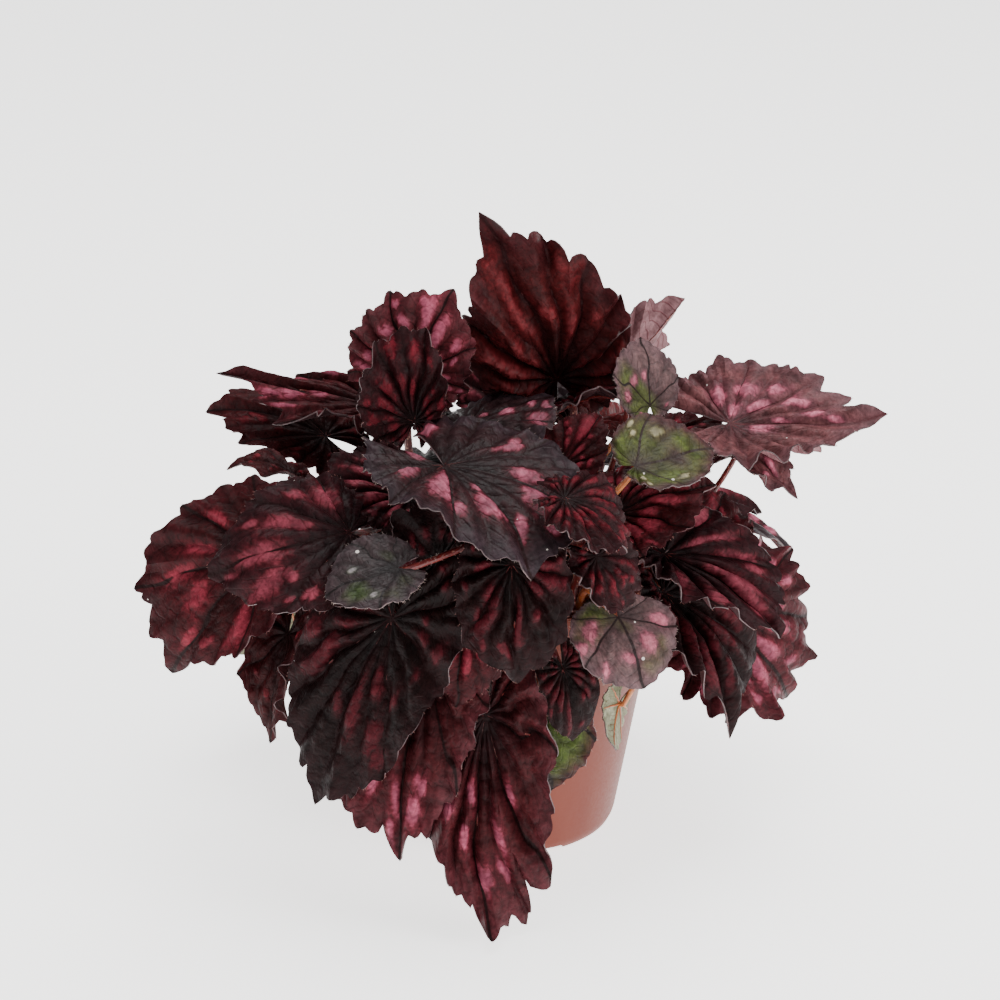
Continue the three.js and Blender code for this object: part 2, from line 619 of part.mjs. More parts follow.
// Rings of four points down the petiole, from just under the joint to its foot in the soil. It
// climbs straight up, bows out and comes in under the blade. Its front corner follows the blade.
function petioleRings(leaf, extraRadius = 0, extraDepth = 0) {
  const radius = leaf.petiole + extraRadius;
  const start = new THREE.Vector3(leaf.root[0], leaf.root[1], PETIOLE_FOOT - extraDepth);
  const end = leaf.joint.clone()
    .addScaledVector(leaf.jointNormal, -leaf.petiole - PETIOLE_JOINT_BELOW);
  const way = end.clone().sub(start);
  const distance = way.length();
  const arrival = way.normalize().addScaledVector(leaf.up, PETIOLE_LIFT).normalize();
  const bow = new THREE.Vector3(...(leaf.bow ?? [0, 0, 0]));
  const climb = new THREE.Vector3(0, 0, PETIOLE_RISE * distance).add(start).add(bow);
  const approach = end.clone().addScaledVector(arrival, -PETIOLE_ARRIVAL * distance).add(bow);
  const path = new THREE.CubicBezierCurve3(start, climb, approach, end);
  const tilt = new THREE.Quaternion().setFromUnitVectors(leaf.jointNormal, path.getTangent(1));
  const front = leaf.ahead.clone().applyQuaternion(tilt);
  return Array.from({ length: PETIOLE_STEPS + 1 }, (_, i) => {
    const share = 1 - i / PETIOLE_STEPS;
    const middle = path.getPoint(share);
    const tangent = path.getTangent(share);
    front.addScaledVector(tangent, -front.dot(tangent)).normalize();
    const left = tangent.cross(front);
    const corners = [front.clone(), left, front.clone().negate(), left.clone().negate()];
    return corners.map((corner) => corner.multiplyScalar(radius).add(middle));
  });
}

// The walls of a tube through rings of vertex indices, with the last ring closed by a cap.
function tubeTriangles(rings) {
  const triangles = [];
  for (let ring = 0; ring + 1 < rings.length; ring += 1) {
    const above = rings[ring];
    const below = rings[ring + 1];
    above.forEach((corner, i) => {
      const next = (i + 1) % above.length;
      triangles.push(corner, below[i], above[next], above[next], below[i], below[next]);
    });
  }
  const [a, b, c, d] = rings.at(-1);
  triangles.push(a, c, b, a, d, c);
  return triangles;
}

function indexedGeometry(positions, triangles) {
  const geometry = new THREE.BufferGeometry();
  geometry.setAttribute("position", new THREE.Float32BufferAttribute(positions, 3));
  geometry.setIndex(triangles);
  geometry.computeVertexNormals();
  return geometry;
}

// The hole that a petiole stands in: its stretch below the top of the soil, a little wider.
function petioleHole(leaf) {
  const rings = petioleRings(leaf, CLEARANCE, CLEARANCE);
  const top = SOIL_LEVEL + SOIL_DOME + SOIL_LUMPS;
  const lid = rings.findLastIndex((ring) => ring.every((corner) => corner.z > top));
  const corners = rings.slice(lid).flat();
  const indices = rings.slice(lid).map((ring, i) => ring.map((corner, k) => i * ring.length + k));
  const [a, b, c, d] = indices[0];
  const triangles = [a, b, c, a, c, d, ...tubeTriangles(indices)];
  return toSolid(indexedGeometry(corners.flatMap((corner) => corner.toArray()), triangles));
}

// A leaf: rings of points round the joint, each with an upper and a lower vertex, joined by the
// same triangles on both faces and closed by a narrow wall along the margin. On the underside the
// innermost triangles run down into the petiole.
function leafGeometry(leaf) {
  const positions = [];
  const triangles = [];

  function addVertex(point) {
    positions.push(...point);
    return positions.length / 3 - 1;
  }

  function addPair(vein, reach) {
    const middle = bladePoint(leaf, vein, reach);
    const normal = bladeNormal(leaf, vein, reach);
    return {
      vein,
      upper: addVertex(middle.clone().addScaledVector(normal, BLADE_THICKNESS / 2)),
      lower: addVertex(middle.clone().addScaledVector(normal, -BLADE_THICKNESS / 2)),
    };
  }

  function addFace(a, b, c) {
    triangles.push(a.upper, b.upper, c.upper);
    triangles.push(c.lower, b.lower, a.lower);
  }

  const grid = leaf.rings.map(({ reach, step }) => {
    const count = 2 * leaf.veins / step;
    return Array.from({ length: count + 1 }, (_, i) => addPair(i * step - leaf.veins, reach));
  });
  for (let ring = 0; ring + 1 < grid.length; ring += 1) {
    const inner = grid[ring];
    const outer = grid[ring + 1];
    for (let i = 0; i + 1 < inner.length; i += 1) {
      addFace(inner[i], outer[2 * i], outer[2 * i + 1]);
      addFace(inner[i], outer[2 * i + 1], inner[i + 1]);
      addFace(inner[i + 1], outer[2 * i + 1], outer[2 * i + 2]);
    }
  }
  const starts = grid.slice(0, -1).map((ring) => ring[0]);
  const ends = grid.slice(0, -1).map((ring) => ring.at(-1)).reverse();
  const border = [...starts, ...grid.at(-1), ...ends];
  for (let i = 0; i + 1 < border.length; i += 1) {
    const here = border[i];
    const next = border[i + 1];
    triangles.push(here.upper, here.lower, next.upper);
    triangles.push(next.upper, here.lower, next.lower);
  }

  const centre = leaf.joint.clone().addScaledVector(leaf.jointNormal, BLADE_THICKNESS / 2);
  const apex = addVertex(centre);
  const first = grid[0];
  for (let i = 0; i + 1 < first.length; i += 1) {
    triangles.push(apex, first[i].upper, first[i + 1].upper);
  }

  const stalk = petioleRings(leaf).map((ring) => ring.map(addVertex));
  const [front, left, back, right] = stalk[0];
  const quarter = leaf.veins * (Math.PI / 4) / SINUS_ANGLE;
  const cornerBy = ({ vein }) => {
    if (Math.abs(vein) > 3 * quarter) {
      return back;
    }
    if (Math.abs(vein) < quarter) {
      return front;
    }
    return vein > 0 ? left : right;
  };
  const rim = [
    ...first.map((pair) => ({ vertex: pair.lower, corner: cornerBy(pair) })),
    { vertex: first.at(-1).upper, corner: back },
    { vertex: apex, corner: back },
    { vertex: first[0].upper, corner: back },
  ];
  rim.forEach((here, i) => {
    const next = rim[(i + 1) % rim.length];
    triangles.push(next.vertex, here.vertex, here.corner);
    if (next.corner !== here.corner) {
      triangles.push(next.vertex, here.corner, next.corner);
    }
  });
  triangles.push(...tubeTriangles(stalk));
  return indexedGeometry(positions, triangles);
}

// Pot.
const WALL_SLOPE = (POT_TOP_RADIUS - POT_FOOT_RADIUS) / POT_HEIGHT;

function wallRadius(height) {
  return POT_FOOT_RADIUS + WALL_SLOPE * height;
}

function potSolid() {
  const rimFoot = POT_HEIGHT - RIM_HEIGHT;
  const floorTop = FOOT_HEIGHT + POT_FLOOR;
  const cornerTop = floorTop + POT_CORNER_RADIUS;
  const shell = toSolid(turned([
    [0, FOOT_HEIGHT],
    [FOOT_INNER_RADIUS, FOOT_HEIGHT],
    [FOOT_INNER_RADIUS + RIM_STEP, 0],
    [POT_FOOT_RADIUS - POT_CORNER_RADIUS, 0],
    [POT_FOOT_RADIUS - RIM_STEP, RIM_STEP],
    [wallRadius(cornerTop), cornerTop],
    [wallRadius(rimFoot), rimFoot],
    [RIM_RADIUS - RIM_STEP, rimFoot + RIM_STEP],
    [RIM_RADIUS, POT_HEIGHT - RIM_STEP],
    [RIM_RADIUS - RIM_STEP / 2, POT_HEIGHT],
    [RIM_RADIUS - POT_WALL - RIM_STEP, POT_HEIGHT],
    [RIM_RADIUS - POT_WALL - 2 * RIM_STEP, rimFoot + 2 * RIM_STEP],
    [wallRadius(rimFoot) - POT_WALL, rimFoot],
    [wallRadius(cornerTop) - POT_WALL, cornerTop],
    [wallRadius(floorTop) - POT_WALL - POT_CORNER_RADIUS, floorTop],
    [0, floorTop],
  ], POT_SIDES));
  return subtractAll(shell, [...footNotches(), ...drainHoles()]);
}

// Each notch is a low trapezium cut outwards through the foot ring.
function footNotches() {
  const half = FOOT_NOTCH_WIDTH / 2;
  const outline = new THREE.Shape();
  outline.moveTo(-half - FOOT_NOTCH_BEVEL, -FOOT_NOTCH_DEPTH);
  outline.lineTo(half + FOOT_NOTCH_BEVEL, -FOOT_NOTCH_DEPTH);
  outline.lineTo(half - FOOT_NOTCH_BEVEL, FOOT_NOTCH_DEPTH);
  outline.lineTo(-half + FOOT_NOTCH_BEVEL, FOOT_NOTCH_DEPTH);
  const reach = 2 * POT_CORNER_RADIUS;
  return Array.from({ length: FOOT_NOTCHES }, (_, i) => {
    const cutter = new THREE.ExtrudeGeometry(outline, {
      depth: POT_FOOT_RADIUS + reach - FOOT_INNER_RADIUS + reach,
      bevelEnabled: false,
    });
    cutter.rotateX(Math.PI / 2).rotateZ(Math.PI / 2).translate(FOOT_INNER_RADIUS - reach, 0, 0);
    return toSolid(cutter.rotateZ(FOOT_NOTCH_ANGLE + (i / FOOT_NOTCHES) * 2 * Math.PI));
  });
}

function drainHoles() {
  return Array.from({ length: DRAIN_HOLES }, (_, i) => {
    const hole = new THREE.CylinderGeometry(
      DRAIN_HOLE_RADIUS, DRAIN_HOLE_RADIUS, 4 * POT_FLOOR, DRAIN_HOLE_SIDES,
    );
    hole.rotateX(Math.PI / 2).translate(DRAIN_HOLE_REACH, 0, FOOT_HEIGHT + POT_FLOOR / 2);
    return toSolid(hole.rotateZ((i / DRAIN_HOLES) * 2 * Math.PI));
  });
}

// A rhizome is a capsule with knobs, laid level at its own azimuth.
function rhizomeGeometry(rhizome, extraRadius = 0) {
  const radius = RHIZOME_RADIUS + extraRadius;
  const body = rhizome.length - 2 * RHIZOME_RADIUS;
  const bodySteps = Math.round(body / RHIZOME_KNOB_SPACING) * 2;
  const geometry = new THREE.CapsuleGeometry(
    radius, body, RHIZOME_CAP_STEPS, RHIZOME_SIDES, bodySteps,
  );
  const positions = geometry.attributes.position;
  const point = new THREE.Vector3();
  for (let i = 0; i < positions.count; i += 1) {
    point.fromBufferAttribute(positions, i);
    const knob = RHIZOME_KNOB_HEIGHT * Math.cos(2 * Math.PI * point.y / RHIZOME_KNOB_SPACING);
    const swell = 1 + knob / RHIZOME_RADIUS;
    positions.setXYZ(i, point.x * swell, point.y, point.z * swell);
  }
  return geometry
    .rotateZ(Math.PI / 2)
    .rotateZ(THREE.MathUtils.degToRad(rhizome.azimuth))
    .translate(rhizome.x, rhizome.y, RHIZOME_LEVEL);
}

// Soil, with a plain hole for each petiole and each rhizome.
function soilSolid(leaves) {
  const bottom = FOOT_HEIGHT + POT_FLOOR + CLEARANCE;
  const cornerTop = bottom + POT_CORNER_RADIUS;
  const inside = (height) => wallRadius(height) - POT_WALL - 2 * CLEARANCE;
  const edge = inside(SOIL_LEVEL);
  const domed = (share) => [edge * share, SOIL_LEVEL + SOIL_DOME * (1 - share ** 2)];
  const geometry = turned([
    [0, bottom],
    [inside(bottom) - POT_CORNER_RADIUS, bottom],
    [inside(cornerTop), cornerTop],
    [edge, SOIL_LEVEL],
    ...SOIL_RINGS.map(domed),
    domed(0),
  ], SOIL_SIDES);
  const positions = geometry.attributes.position;
  for (let i = 0; i < positions.count; i += 1) {
    const height = positions.getZ(i);
    if (height > SOIL_LEVEL + SOIL_LUMPS / 2) {
      const place = (positions.getX(i) + 2 * positions.getY(i)) / SOIL_LUMP_SPACING;
      positions.setZ(i, height + SOIL_LUMPS * smoothRandom(SOIL_SEED, place));
    }
  }
  const rhizomeHoles = RHIZOMES.map((rhizome) => toSolid(rhizomeGeometry(rhizome, CLEARANCE)));
  return subtractAll(toSolid(geometry), [...rhizomeHoles, ...leaves.map(petioleHole)]);
}

const plant = new THREE.Group();

function addPiece(name, geometry, color, roughness) {
  const material = new THREE.MeshStandardMaterial({ color, roughness, metalness: 0 });
  const mesh = new THREE.Mesh(geometry, material);
  mesh.name = name;
  plant.add(mesh);
}

const leaves = LEAVES.map(makeLeaf);
addPiece("pot", toGeometry(potSolid()), POT_COLOUR, POT_ROUGHNESS);
addPiece("soil", toGeometry(soilSolid(leaves)), SOIL_COLOUR, SOIL_ROUGHNESS);
for (const rhizome of RHIZOMES) {
  addPiece(rhizome.name, toGeometry(toSolid(rhizomeGeometry(rhizome))), RHIZOME_COLOUR,
    RHIZOME_ROUGHNESS);
}
for (const leaf of leaves) {
  addPiece(leaf.name, leafGeometry(leaf), leaf.colour, LEAF_ROUGHNESS);
}

export default plant;
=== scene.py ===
import math

import bpy
import numpy as np
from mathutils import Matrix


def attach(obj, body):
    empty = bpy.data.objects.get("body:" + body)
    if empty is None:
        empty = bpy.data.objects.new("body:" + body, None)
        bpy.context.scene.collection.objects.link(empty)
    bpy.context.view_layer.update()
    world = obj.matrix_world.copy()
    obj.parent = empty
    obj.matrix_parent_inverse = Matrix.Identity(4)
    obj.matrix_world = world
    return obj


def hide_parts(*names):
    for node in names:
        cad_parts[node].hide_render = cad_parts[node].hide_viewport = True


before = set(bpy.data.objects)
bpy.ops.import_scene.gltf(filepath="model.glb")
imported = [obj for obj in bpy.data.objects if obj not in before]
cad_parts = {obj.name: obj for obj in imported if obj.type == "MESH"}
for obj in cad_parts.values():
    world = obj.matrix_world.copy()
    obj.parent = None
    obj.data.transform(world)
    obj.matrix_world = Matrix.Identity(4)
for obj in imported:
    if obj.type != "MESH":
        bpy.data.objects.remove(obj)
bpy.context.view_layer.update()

# Camera: a long lens a metre in front of the plant, as a catalogue picture is taken. It looks
# down by about 22 degrees, so the pot's foot and the upper faces of the leaves both show.
MM = 0.001
CAMERA_PLACE = (-3.84, -1000, 534.4)
CAMERA_DOWN = math.radians(22.08)
CAMERA_SENSOR = 36
CAMERA_LENS = 104.4

bpy.ops.object.camera_add(location=[MM * part for part in CAMERA_PLACE],
                          rotation=(math.pi / 2 - CAMERA_DOWN, 0, 0))
camera = bpy.context.object
camera.data.sensor_width = CAMERA_SENSOR
camera.data.lens = CAMERA_LENS
camera.data.clip_start = 0.05
bpy.context.scene.camera = camera


# Studio: a seamless pale floor under three soft boxes, a broad one above and a smaller one at
# each side of the front, with an even pale surround.
def linear(shade):
    """Turns an sRGB hex colour into linear red, green, blue and alpha."""
    parts = [int(shade[i:i + 2], 16) / 255 for i in (1, 3, 5)]
    return [part / 12.92 if part <= 0.04045 else ((part + 0.055) / 1.055) ** 2.4
            for part in parts] + [1]


def node(tree, kind, inputs, **settings):
    """Adds one shader node with its settings, values and links."""
    made = tree.nodes.new("ShaderNode" + kind)
    for name, value in settings.items():
        setattr(made, name, value)
    for name, value in inputs.items():
        if isinstance(value, bpy.types.NodeSocket):
            tree.links.new(value, made.inputs[name])
        else:
            made.inputs[name].default_value = value
    return made


def new_finish(name):
    """A new material, its node tree and its surface shader."""
    made = bpy.data.materials.new(name)
    made.use_nodes = True
    return made, made.node_tree, made.node_tree.nodes["Principled BSDF"]


SURROUND = "#ffffff"
SURROUND_STRENGTH = 0.36
FLOOR_SIZE = 12
FLOOR_DROP = 0.0002
FLOOR_SHADE = "#f6f5f4"
FLOOR_GLOW = 2.2
SOFT_BOXES = [
    {"name": "box_above", "place": (0.15, 0.1, 1.5), "aim": (0, 0, 0.1), "size": 1.2, "power": 26},
    {"name": "box_right", "place": (1.6, -0.8, 0.9), "aim": (0, 0, 0.1), "size": 0.8, "power": 22},
    {"name": "box_left", "place": (-1.4, -1.1, 0.7), "aim": (0, 0, 0.1), "size": 0.8, "power": 4},
]

world = bpy.data.worlds.new("studio_surround")
world.use_nodes = True
backdrop = world.node_tree.nodes["Background"]
backdrop.inputs["Color"].default_value = linear(SURROUND)
backdrop.inputs["Strength"].default_value = SURROUND_STRENGTH
bpy.context.scene.world = world

for box in SOFT_BOXES:
    bpy.ops.object.light_add(type="AREA", location=box["place"])
    light = bpy.context.object
    light.name = box["name"]
    light.data.size = box["size"]
    light.data.energy = box["power"]
    aim = np.subtract(box["aim"], box["place"])
    light.rotation_euler = (math.atan2(math.hypot(aim[0], aim[1]), -aim[2]), 0,
                            math.atan2(-aim[0], aim[1]))

floor_finish, tree, surface = new_finish("seamless_paper")
# Matt backdrop paper: a faint unevenness keeps it from looking like a screen.
grain = node(tree, "TexNoise", {"Vector": node(tree, "TexCoord", {}).outputs["Object"],
                                "Scale": 3.0, "Detail": 2.0})
tree.links.new(node(tree, "MapRange", {"Value": grain.outputs[0], "To Min": 0.85,
                                       "To Max": 0.95}).outputs[0], surface.inputs["Roughness"])
surface.inputs["Base Color"].default_value = linear(FLOOR_SHADE)
surface.inputs["Emission Color"].default_value = linear(FLOOR_SHADE)
surface.inputs["Emission Strength"].default_value = FLOOR_GLOW
bpy.ops.mesh.primitive_plane_add(size=FLOOR_SIZE, location=(0, 0, -FLOOR_DROP))
bpy.ops.object.transform_apply(location=True)
floor = bpy.context.object
floor.name = "studio_floor"
floor.data.materials.append(floor_finish)


# Pot: one thin-walled nursery pot, injection moulded in pinkish terracotta polypropylene, with a
# stepped rim band, four drain holes and a foot ring with four notches that let water run out.
POT_SIDES = 128
POT_WALL = [
    (2, 4.5), (30, 4.5), (36.2, 5.2), (38.6, 7.2), (39.8, 11), (56.9, 103.6), (57.2, 104.6),
    (58, 105), (59, 105), (59.7, 104.7), (60, 104), (60, 94), (59.8, 93.3), (59.2, 93),
    (56.9, 92.9), (56.4, 92.7), (56.2, 92.1), (40.7, 5), (40.2, 3.2), (39.2, 1.2), (38, 0.3),
    (37, 0), (35, 0), (34.3, 0.4), (34, 1.1), (34, 2), (33.6, 2.5), (2, 2.5),
]
NOTCH_TURNS = (-72, 18, 108, 198)
NOTCH_SIZE = (14, 18, 4.4)
NOTCH_REACH = 38
NOTCH_BEVEL = 1.5
DRAIN_TURNS = (0, 90, 180, 270)
DRAIN_REACH = 24
DRAIN_RADIUS = 4
CRISP = math.radians(35)


def use_edit(kind="VERT"):
    """Opens the active object for editing, with nothing selected."""
    bpy.ops.object.mode_set(mode="EDIT")
    bpy.ops.mesh.select_mode(type=kind)
    bpy.ops.mesh.select_all(action="DESELECT")


def turn_up(name, sides, wall):
    """Spins up a closed shell: a ring is extruded through every radius and height of a wall."""
    bpy.ops.object.select_all(action="DESELECT")
    radius, height = wall[0]
    bpy.ops.mesh.primitive_circle_add(vertices=sides, radius=radius * MM,
                                      location=(0, 0, height * MM))
    bpy.ops.object.transform_apply(location=True)
    made = bpy.context.object
    made.name = name
    bpy.ops.object.mode_set(mode="EDIT")
    bpy.ops.mesh.select_all(action="SELECT")
    for next_radius, next_height in wall[1:]:
        bpy.ops.mesh.extrude_region_move(
            TRANSFORM_OT_translate={"value": (0, 0, (next_height - height) * MM)})
        scale = next_radius / radius
        bpy.ops.transform.resize(value=(scale, scale, 1), center_override=(0, 0, next_height * MM))
        radius, height = next_radius, next_height
    bpy.ops.mesh.edge_face_add()
    bpy.ops.mesh.select_all(action="DESELECT")
    bpy.ops.mesh.select_non_manifold()
    bpy.ops.mesh.edge_face_add()
    bpy.ops.mesh.select_all(action="SELECT")
    bpy.ops.mesh.normals_make_consistent(inside=False)
    bpy.ops.object.mode_set(mode="OBJECT")
    return made


def apply_modifier(piece, kind, **settings):
    """Puts one modifier on a piece and applies it."""
    bpy.ops.object.select_all(action="DESELECT")
    bpy.context.view_layer.objects.active = piece
    piece.select_set(True)
    modifier = piece.modifiers.new(kind.lower(), kind)
    for name, value in settings.items():
        setattr(modifier, name, value)
    bpy.ops.object.modifier_apply(modifier=modifier.name)


def cut_away(piece, cutter):
    """Cuts one solid out of another and clears the cutter away."""
    apply_modifier(piece, "BOOLEAN", operation="DIFFERENCE", object=cutter, solver="EXACT")
    bpy.data.objects.remove(cutter)


def stand_for(piece, body_node):
    """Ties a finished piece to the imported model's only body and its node."""
    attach(piece, "root")
    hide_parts(body_node)


pot = turn_up("nursery_pot", POT_SIDES, POT_WALL)
for degrees in NOTCH_TURNS:
    turn = math.radians(degrees)
    bpy.ops.mesh.primitive_cube_add(
        size=MM, location=(NOTCH_REACH * MM * math.cos(turn), NOTCH_REACH * MM * math.sin(turn), 0),
        rotation=(0, 0, turn))
    cutter = bpy.context.object
    cutter.scale = NOTCH_SIZE
    bpy.ops.object.transform_apply(location=True, rotation=True, scale=True)
    apply_modifier(cutter, "BEVEL", width=NOTCH_BEVEL * MM, segments=3)
    cut_away(pot, cutter)
for degrees in DRAIN_TURNS:
    turn = math.radians(degrees)
    bpy.ops.mesh.primitive_cylinder_add(
        vertices=32, radius=DRAIN_RADIUS * MM, depth=6 * MM,
        location=(DRAIN_REACH * MM * math.cos(turn), DRAIN_REACH * MM * math.sin(turn), 3.5 * MM))
    cut_away(pot, bpy.context.object)
pot.select_set(True)
bpy.ops.object.shade_smooth_by_angle(angle=CRISP)

# Moulded polypropylene, straight from a polished tool: satin, evenly coloured, with faint flow
# marks up the wall and small scuffs from handling that only show in the gloss.
POT_SHADE = "#6e2e20"
POT_SHADE_DUSTY = "#763829"
pot_finish, tree, surface = new_finish("moulded_polypropylene_terracotta")
where = node(tree, "TexCoord", {}).outputs["Object"]
FLOW_PER_METRE = 60
SCUFF_PER_METRE = 900
flow = node(tree, "TexNoise", {"Vector": node(tree, "Mapping", {
    "Vector": where, "Scale": (1, 1, 0.15)}).outputs[0], "Scale": FLOW_PER_METRE, "Detail": 3.0})
scuff = node(tree, "TexNoise", {"Vector": where, "Scale": SCUFF_PER_METRE, "Detail": 2.0})
tint = node(tree, "MapRange", {"Value": flow.outputs[0], "From Min": 0.35, "From Max": 0.75})
tree.links.new(node(tree, "Mix", {0: tint.outputs[0], 6: linear(POT_SHADE),
                                  7: linear(POT_SHADE_DUSTY)}, data_type="RGBA").outputs[2],
               surface.inputs["Base Color"])
tree.links.new(node(tree, "MapRange", {"Value": scuff.outputs[0], "From Min": 0.3,
                                       "From Max": 0.7, "To Min": 0.38,
                                       "To Max": 0.5}).outputs[0], surface.inputs["Roughness"])
tree.links.new(node(tree, "Bump", {"Height": scuff.outputs[0], "Strength": 0.15,
                                   "Distance": 0.05 * MM}).outputs[0], surface.inputs["Normal"])
surface.inputs["Specular IOR Level"].default_value = 0.25
pot.data.materials.append(pot_finish)
stand_for(pot, "pot")


# Soil: loose peat-based potting mix, pressed in by hand to just under the rim. Its top is lumpy
# and strewn with crumbs and short bits of bark.
SOIL_RADIUS = 55.2
SOIL_LEVEL = 92.6
SOIL_DOME = 3
SOIL_LUMPS = 1.1
LUMP_SIZES = (2.5, 5, 9)
SOIL_FOOT = (35.5, 5)
SOIL_CELLS = 72
CRUMBS = 420
CRUMB_SIZES = (0.6, 2.4)
BARK_SHARE = 0.16


def read_points(piece):
    """The mesh's points, in millimetres."""
    points = np.empty(len(piece.data.vertices) * 3)
    piece.data.vertices.foreach_get("co", points)
    return points.reshape(-1, 3) / MM


def write_points(piece, points):
    """Moves the mesh's points to new places, in millimetres."""
    piece.data.vertices.foreach_set("co", (points * MM).ravel())
    piece.data.update()


def random_at(seed, index):
    """A repeatable draw between 0 and 1 for each seed and index."""
    wave = np.sin(seed * 78.233 + np.asarray(index, float) * 12.9898) * 43758.5453
    return wave - np.floor(wave)


def smooth_random(seed, place):
    """The same draws joined by a smooth wave between -1 and 1."""
    start = np.floor(place)
    blend = (1 - np.cos(math.pi * (place - start))) / 2
    return 2 * (random_at(seed, start) * (1 - blend) + random_at(seed, start + 1) * blend) - 1


def join_pieces(pieces):
    """Joins pieces into the first one."""
    bpy.ops.object.select_all(action="DESELECT")
    for piece in pieces:
        piece.select_set(True)
    bpy.context.view_layer.objects.active = pieces[0]
    bpy.ops.object.join()
    return pieces[0]


def strew(name, shape, places, turns, sizes):
    """One mesh of many copies of a shape, each with its own place, turn and size."""
    base = read_points(shape)
    faces = np.array([list(face.vertices) for face in shape.data.polygons])
    points = np.einsum("nij,nkj->nki", turns, base[None] * sizes[:, None]) + places[:, None]
    step = len(base)
    mesh = bpy.data.meshes.new(name)
    mesh.from_pydata((points.reshape(-1, 3) * MM).tolist(), [],
                     (faces[None] + step * np.arange(len(places))[:, None, None])
                     .reshape(-1, faces.shape[1]).tolist())
    made = bpy.data.objects.new(name, mesh)
    bpy.context.collection.objects.link(made)
    return made


bpy.ops.object.select_all(action="DESELECT")
bpy.ops.mesh.primitive_grid_add(x_subdivisions=SOIL_CELLS, y_subdivisions=SOIL_CELLS, size=2)
soil = bpy.context.object
soil.name = "potting_soil"
points = read_points(soil) * MM
x, y = points[:, 0].copy(), points[:, 1].copy()
points[:, 0] = SOIL_RADIUS * x * np.sqrt(1 - y ** 2 / 2)
points[:, 1] = SOIL_RADIUS * y * np.sqrt(1 - x ** 2 / 2)
reach = np.hypot(points[:, 0], points[:, 1]) / SOIL_RADIUS
lumps = sum(size * smooth_random(5 + k, points[:, 0] / size + 40)
            * smooth_random(9 + k, points[:, 1] / size + 40)
            for k, size in enumerate(LUMP_SIZES)) / 4
points[:, 2] = SOIL_LEVEL + SOIL_DOME * (1 - reach ** 2) + SOIL_LUMPS * lumps
write_points(soil, points)
use_edit("EDGE")
bpy.ops.mesh.select_non_manifold()
bpy.ops.mesh.extrude_region_move()
bpy.ops.object.mode_set(mode="OBJECT")
points = read_points(soil)
foot = np.array([vertex.select for vertex in soil.data.vertices])
foot_turn = np.arctan2(points[foot, 1], points[foot, 0])
points[foot] = np.stack([SOIL_FOOT[0] * np.cos(foot_turn), SOIL_FOOT[0] * np.sin(foot_turn),
                         np.full(foot.sum(), SOIL_FOOT[1])], 1)
write_points(soil, points)
bpy.ops.object.mode_set(mode="EDIT")
bpy.ops.mesh.edge_face_add()
bpy.ops.mesh.select_all(action="SELECT")
bpy.ops.mesh.normals_make_consistent(inside=False)
bpy.ops.object.mode_set(mode="OBJECT")


def peat(name, dark, light, grain_size):
    """Peat or bark: matt and rough, dark when moist, with pale dry crumbs."""
    made, tree, surface = new_finish(name)
    where = node(tree, "TexCoord", {}).outputs["Object"]
    grain = node(tree, "TexNoise", {"Vector": where, "Scale": 1 / (grain_size * MM), "Detail": 6.0,
                                    "Roughness": 0.7})
    dry = node(tree, "MapRange", {"Value": grain.outputs[0], "From Min": 0.42, "From Max": 0.72})
    tree.links.new(node(tree, "Mix", {0: dry.outputs[0], 6: linear(dark), 7: linear(light)},
                        data_type="RGBA").outputs[2], surface.inputs["Base Color"])
    tree.links.new(node(tree, "Bump", {"Height": grain.outputs[0], "Strength": 0.9,
                                       "Distance": 0.6 * MM}).outputs[0], surface.inputs["Normal"])
    surface.inputs["Roughness"].default_value = 0.95
    surface.inputs["Specular IOR Level"].default_value = 0.25
    return made


soil.data.materials.append(peat("moist_peat", "#1d140f", "#4a382b", 1.5))
draw = np.random.default_rng(7)
spread = np.sqrt(draw.uniform(0, 0.97, CRUMBS)) * SOIL_RADIUS
around = draw.uniform(0, 2 * math.pi, CRUMBS)
height = SOIL_LEVEL + SOIL_DOME * (1 - (spread / SOIL_RADIUS) ** 2)
places = np.stack([spread * np.cos(around), spread * np.sin(around), height], 1)
turns = np.linalg.qr(draw.normal(size=(CRUMBS, 3, 3)))[0]
turns *= np.linalg.det(turns)[:, None, None]
sizes = draw.uniform(*CRUMB_SIZES, (CRUMBS, 1)) * draw.uniform(0.5, 1, (CRUMBS, 3))
bark = draw.random(CRUMBS) < BARK_SHARE
sizes[bark] *= (0.45, 1.8, 0.8)
bpy.ops.mesh.primitive_ico_sphere_add(subdivisions=1, radius=MM)
crumb = bpy.context.object
crumbs = strew("crumbs", crumb, places[~bark], turns[~bark], sizes[~bark])
crumbs.data.materials.append(peat("peat_crumbs", "#24180f", "#5b4532", 0.8))
chips = strew("chips", crumb, places[bark], turns[bark], sizes[bark])
chips.data.materials.append(peat("bark_chips", "#5a3c28", "#9a7350", 0.6))
bpy.data.objects.remove(crumb)
join_pieces([soil, crumbs, chips])
bpy.ops.object.shade_smooth_by_angle(angle=math.radians(60))
stand_for(soil, "soil")


# Rhizomes: the thick stems that creep half sunk in the soil and carry the leaves. Each is fleshy
# and knobbly, ringed with the scars of old leaves and rusty brown.
RHIZOMES = [
    {"name": "rhizome_long", "x": -13, "y": -6, "azimuth": 25, "length": 44, "seed": 3},
    {"name": "rhizome_short", "x": 17, "y": 9, "azimuth": -40, "length": 34, "seed": 4},
]
RHIZOME_RADIUS = 6.4
RHIZOME_LEVEL = 93
RHIZOME_SKIN = 0.9
CORK_PER_METRE = 450
FLUSH_PER_METRE = 120
SCAR_SPACING = 4.5
SCAR_HEIGHT = 0.45
KNOB_SPACING = 6
KNOB_HEIGHT = 0.5

rhizome_finish, tree, surface = new_finish("scarred_fleshy_stem")
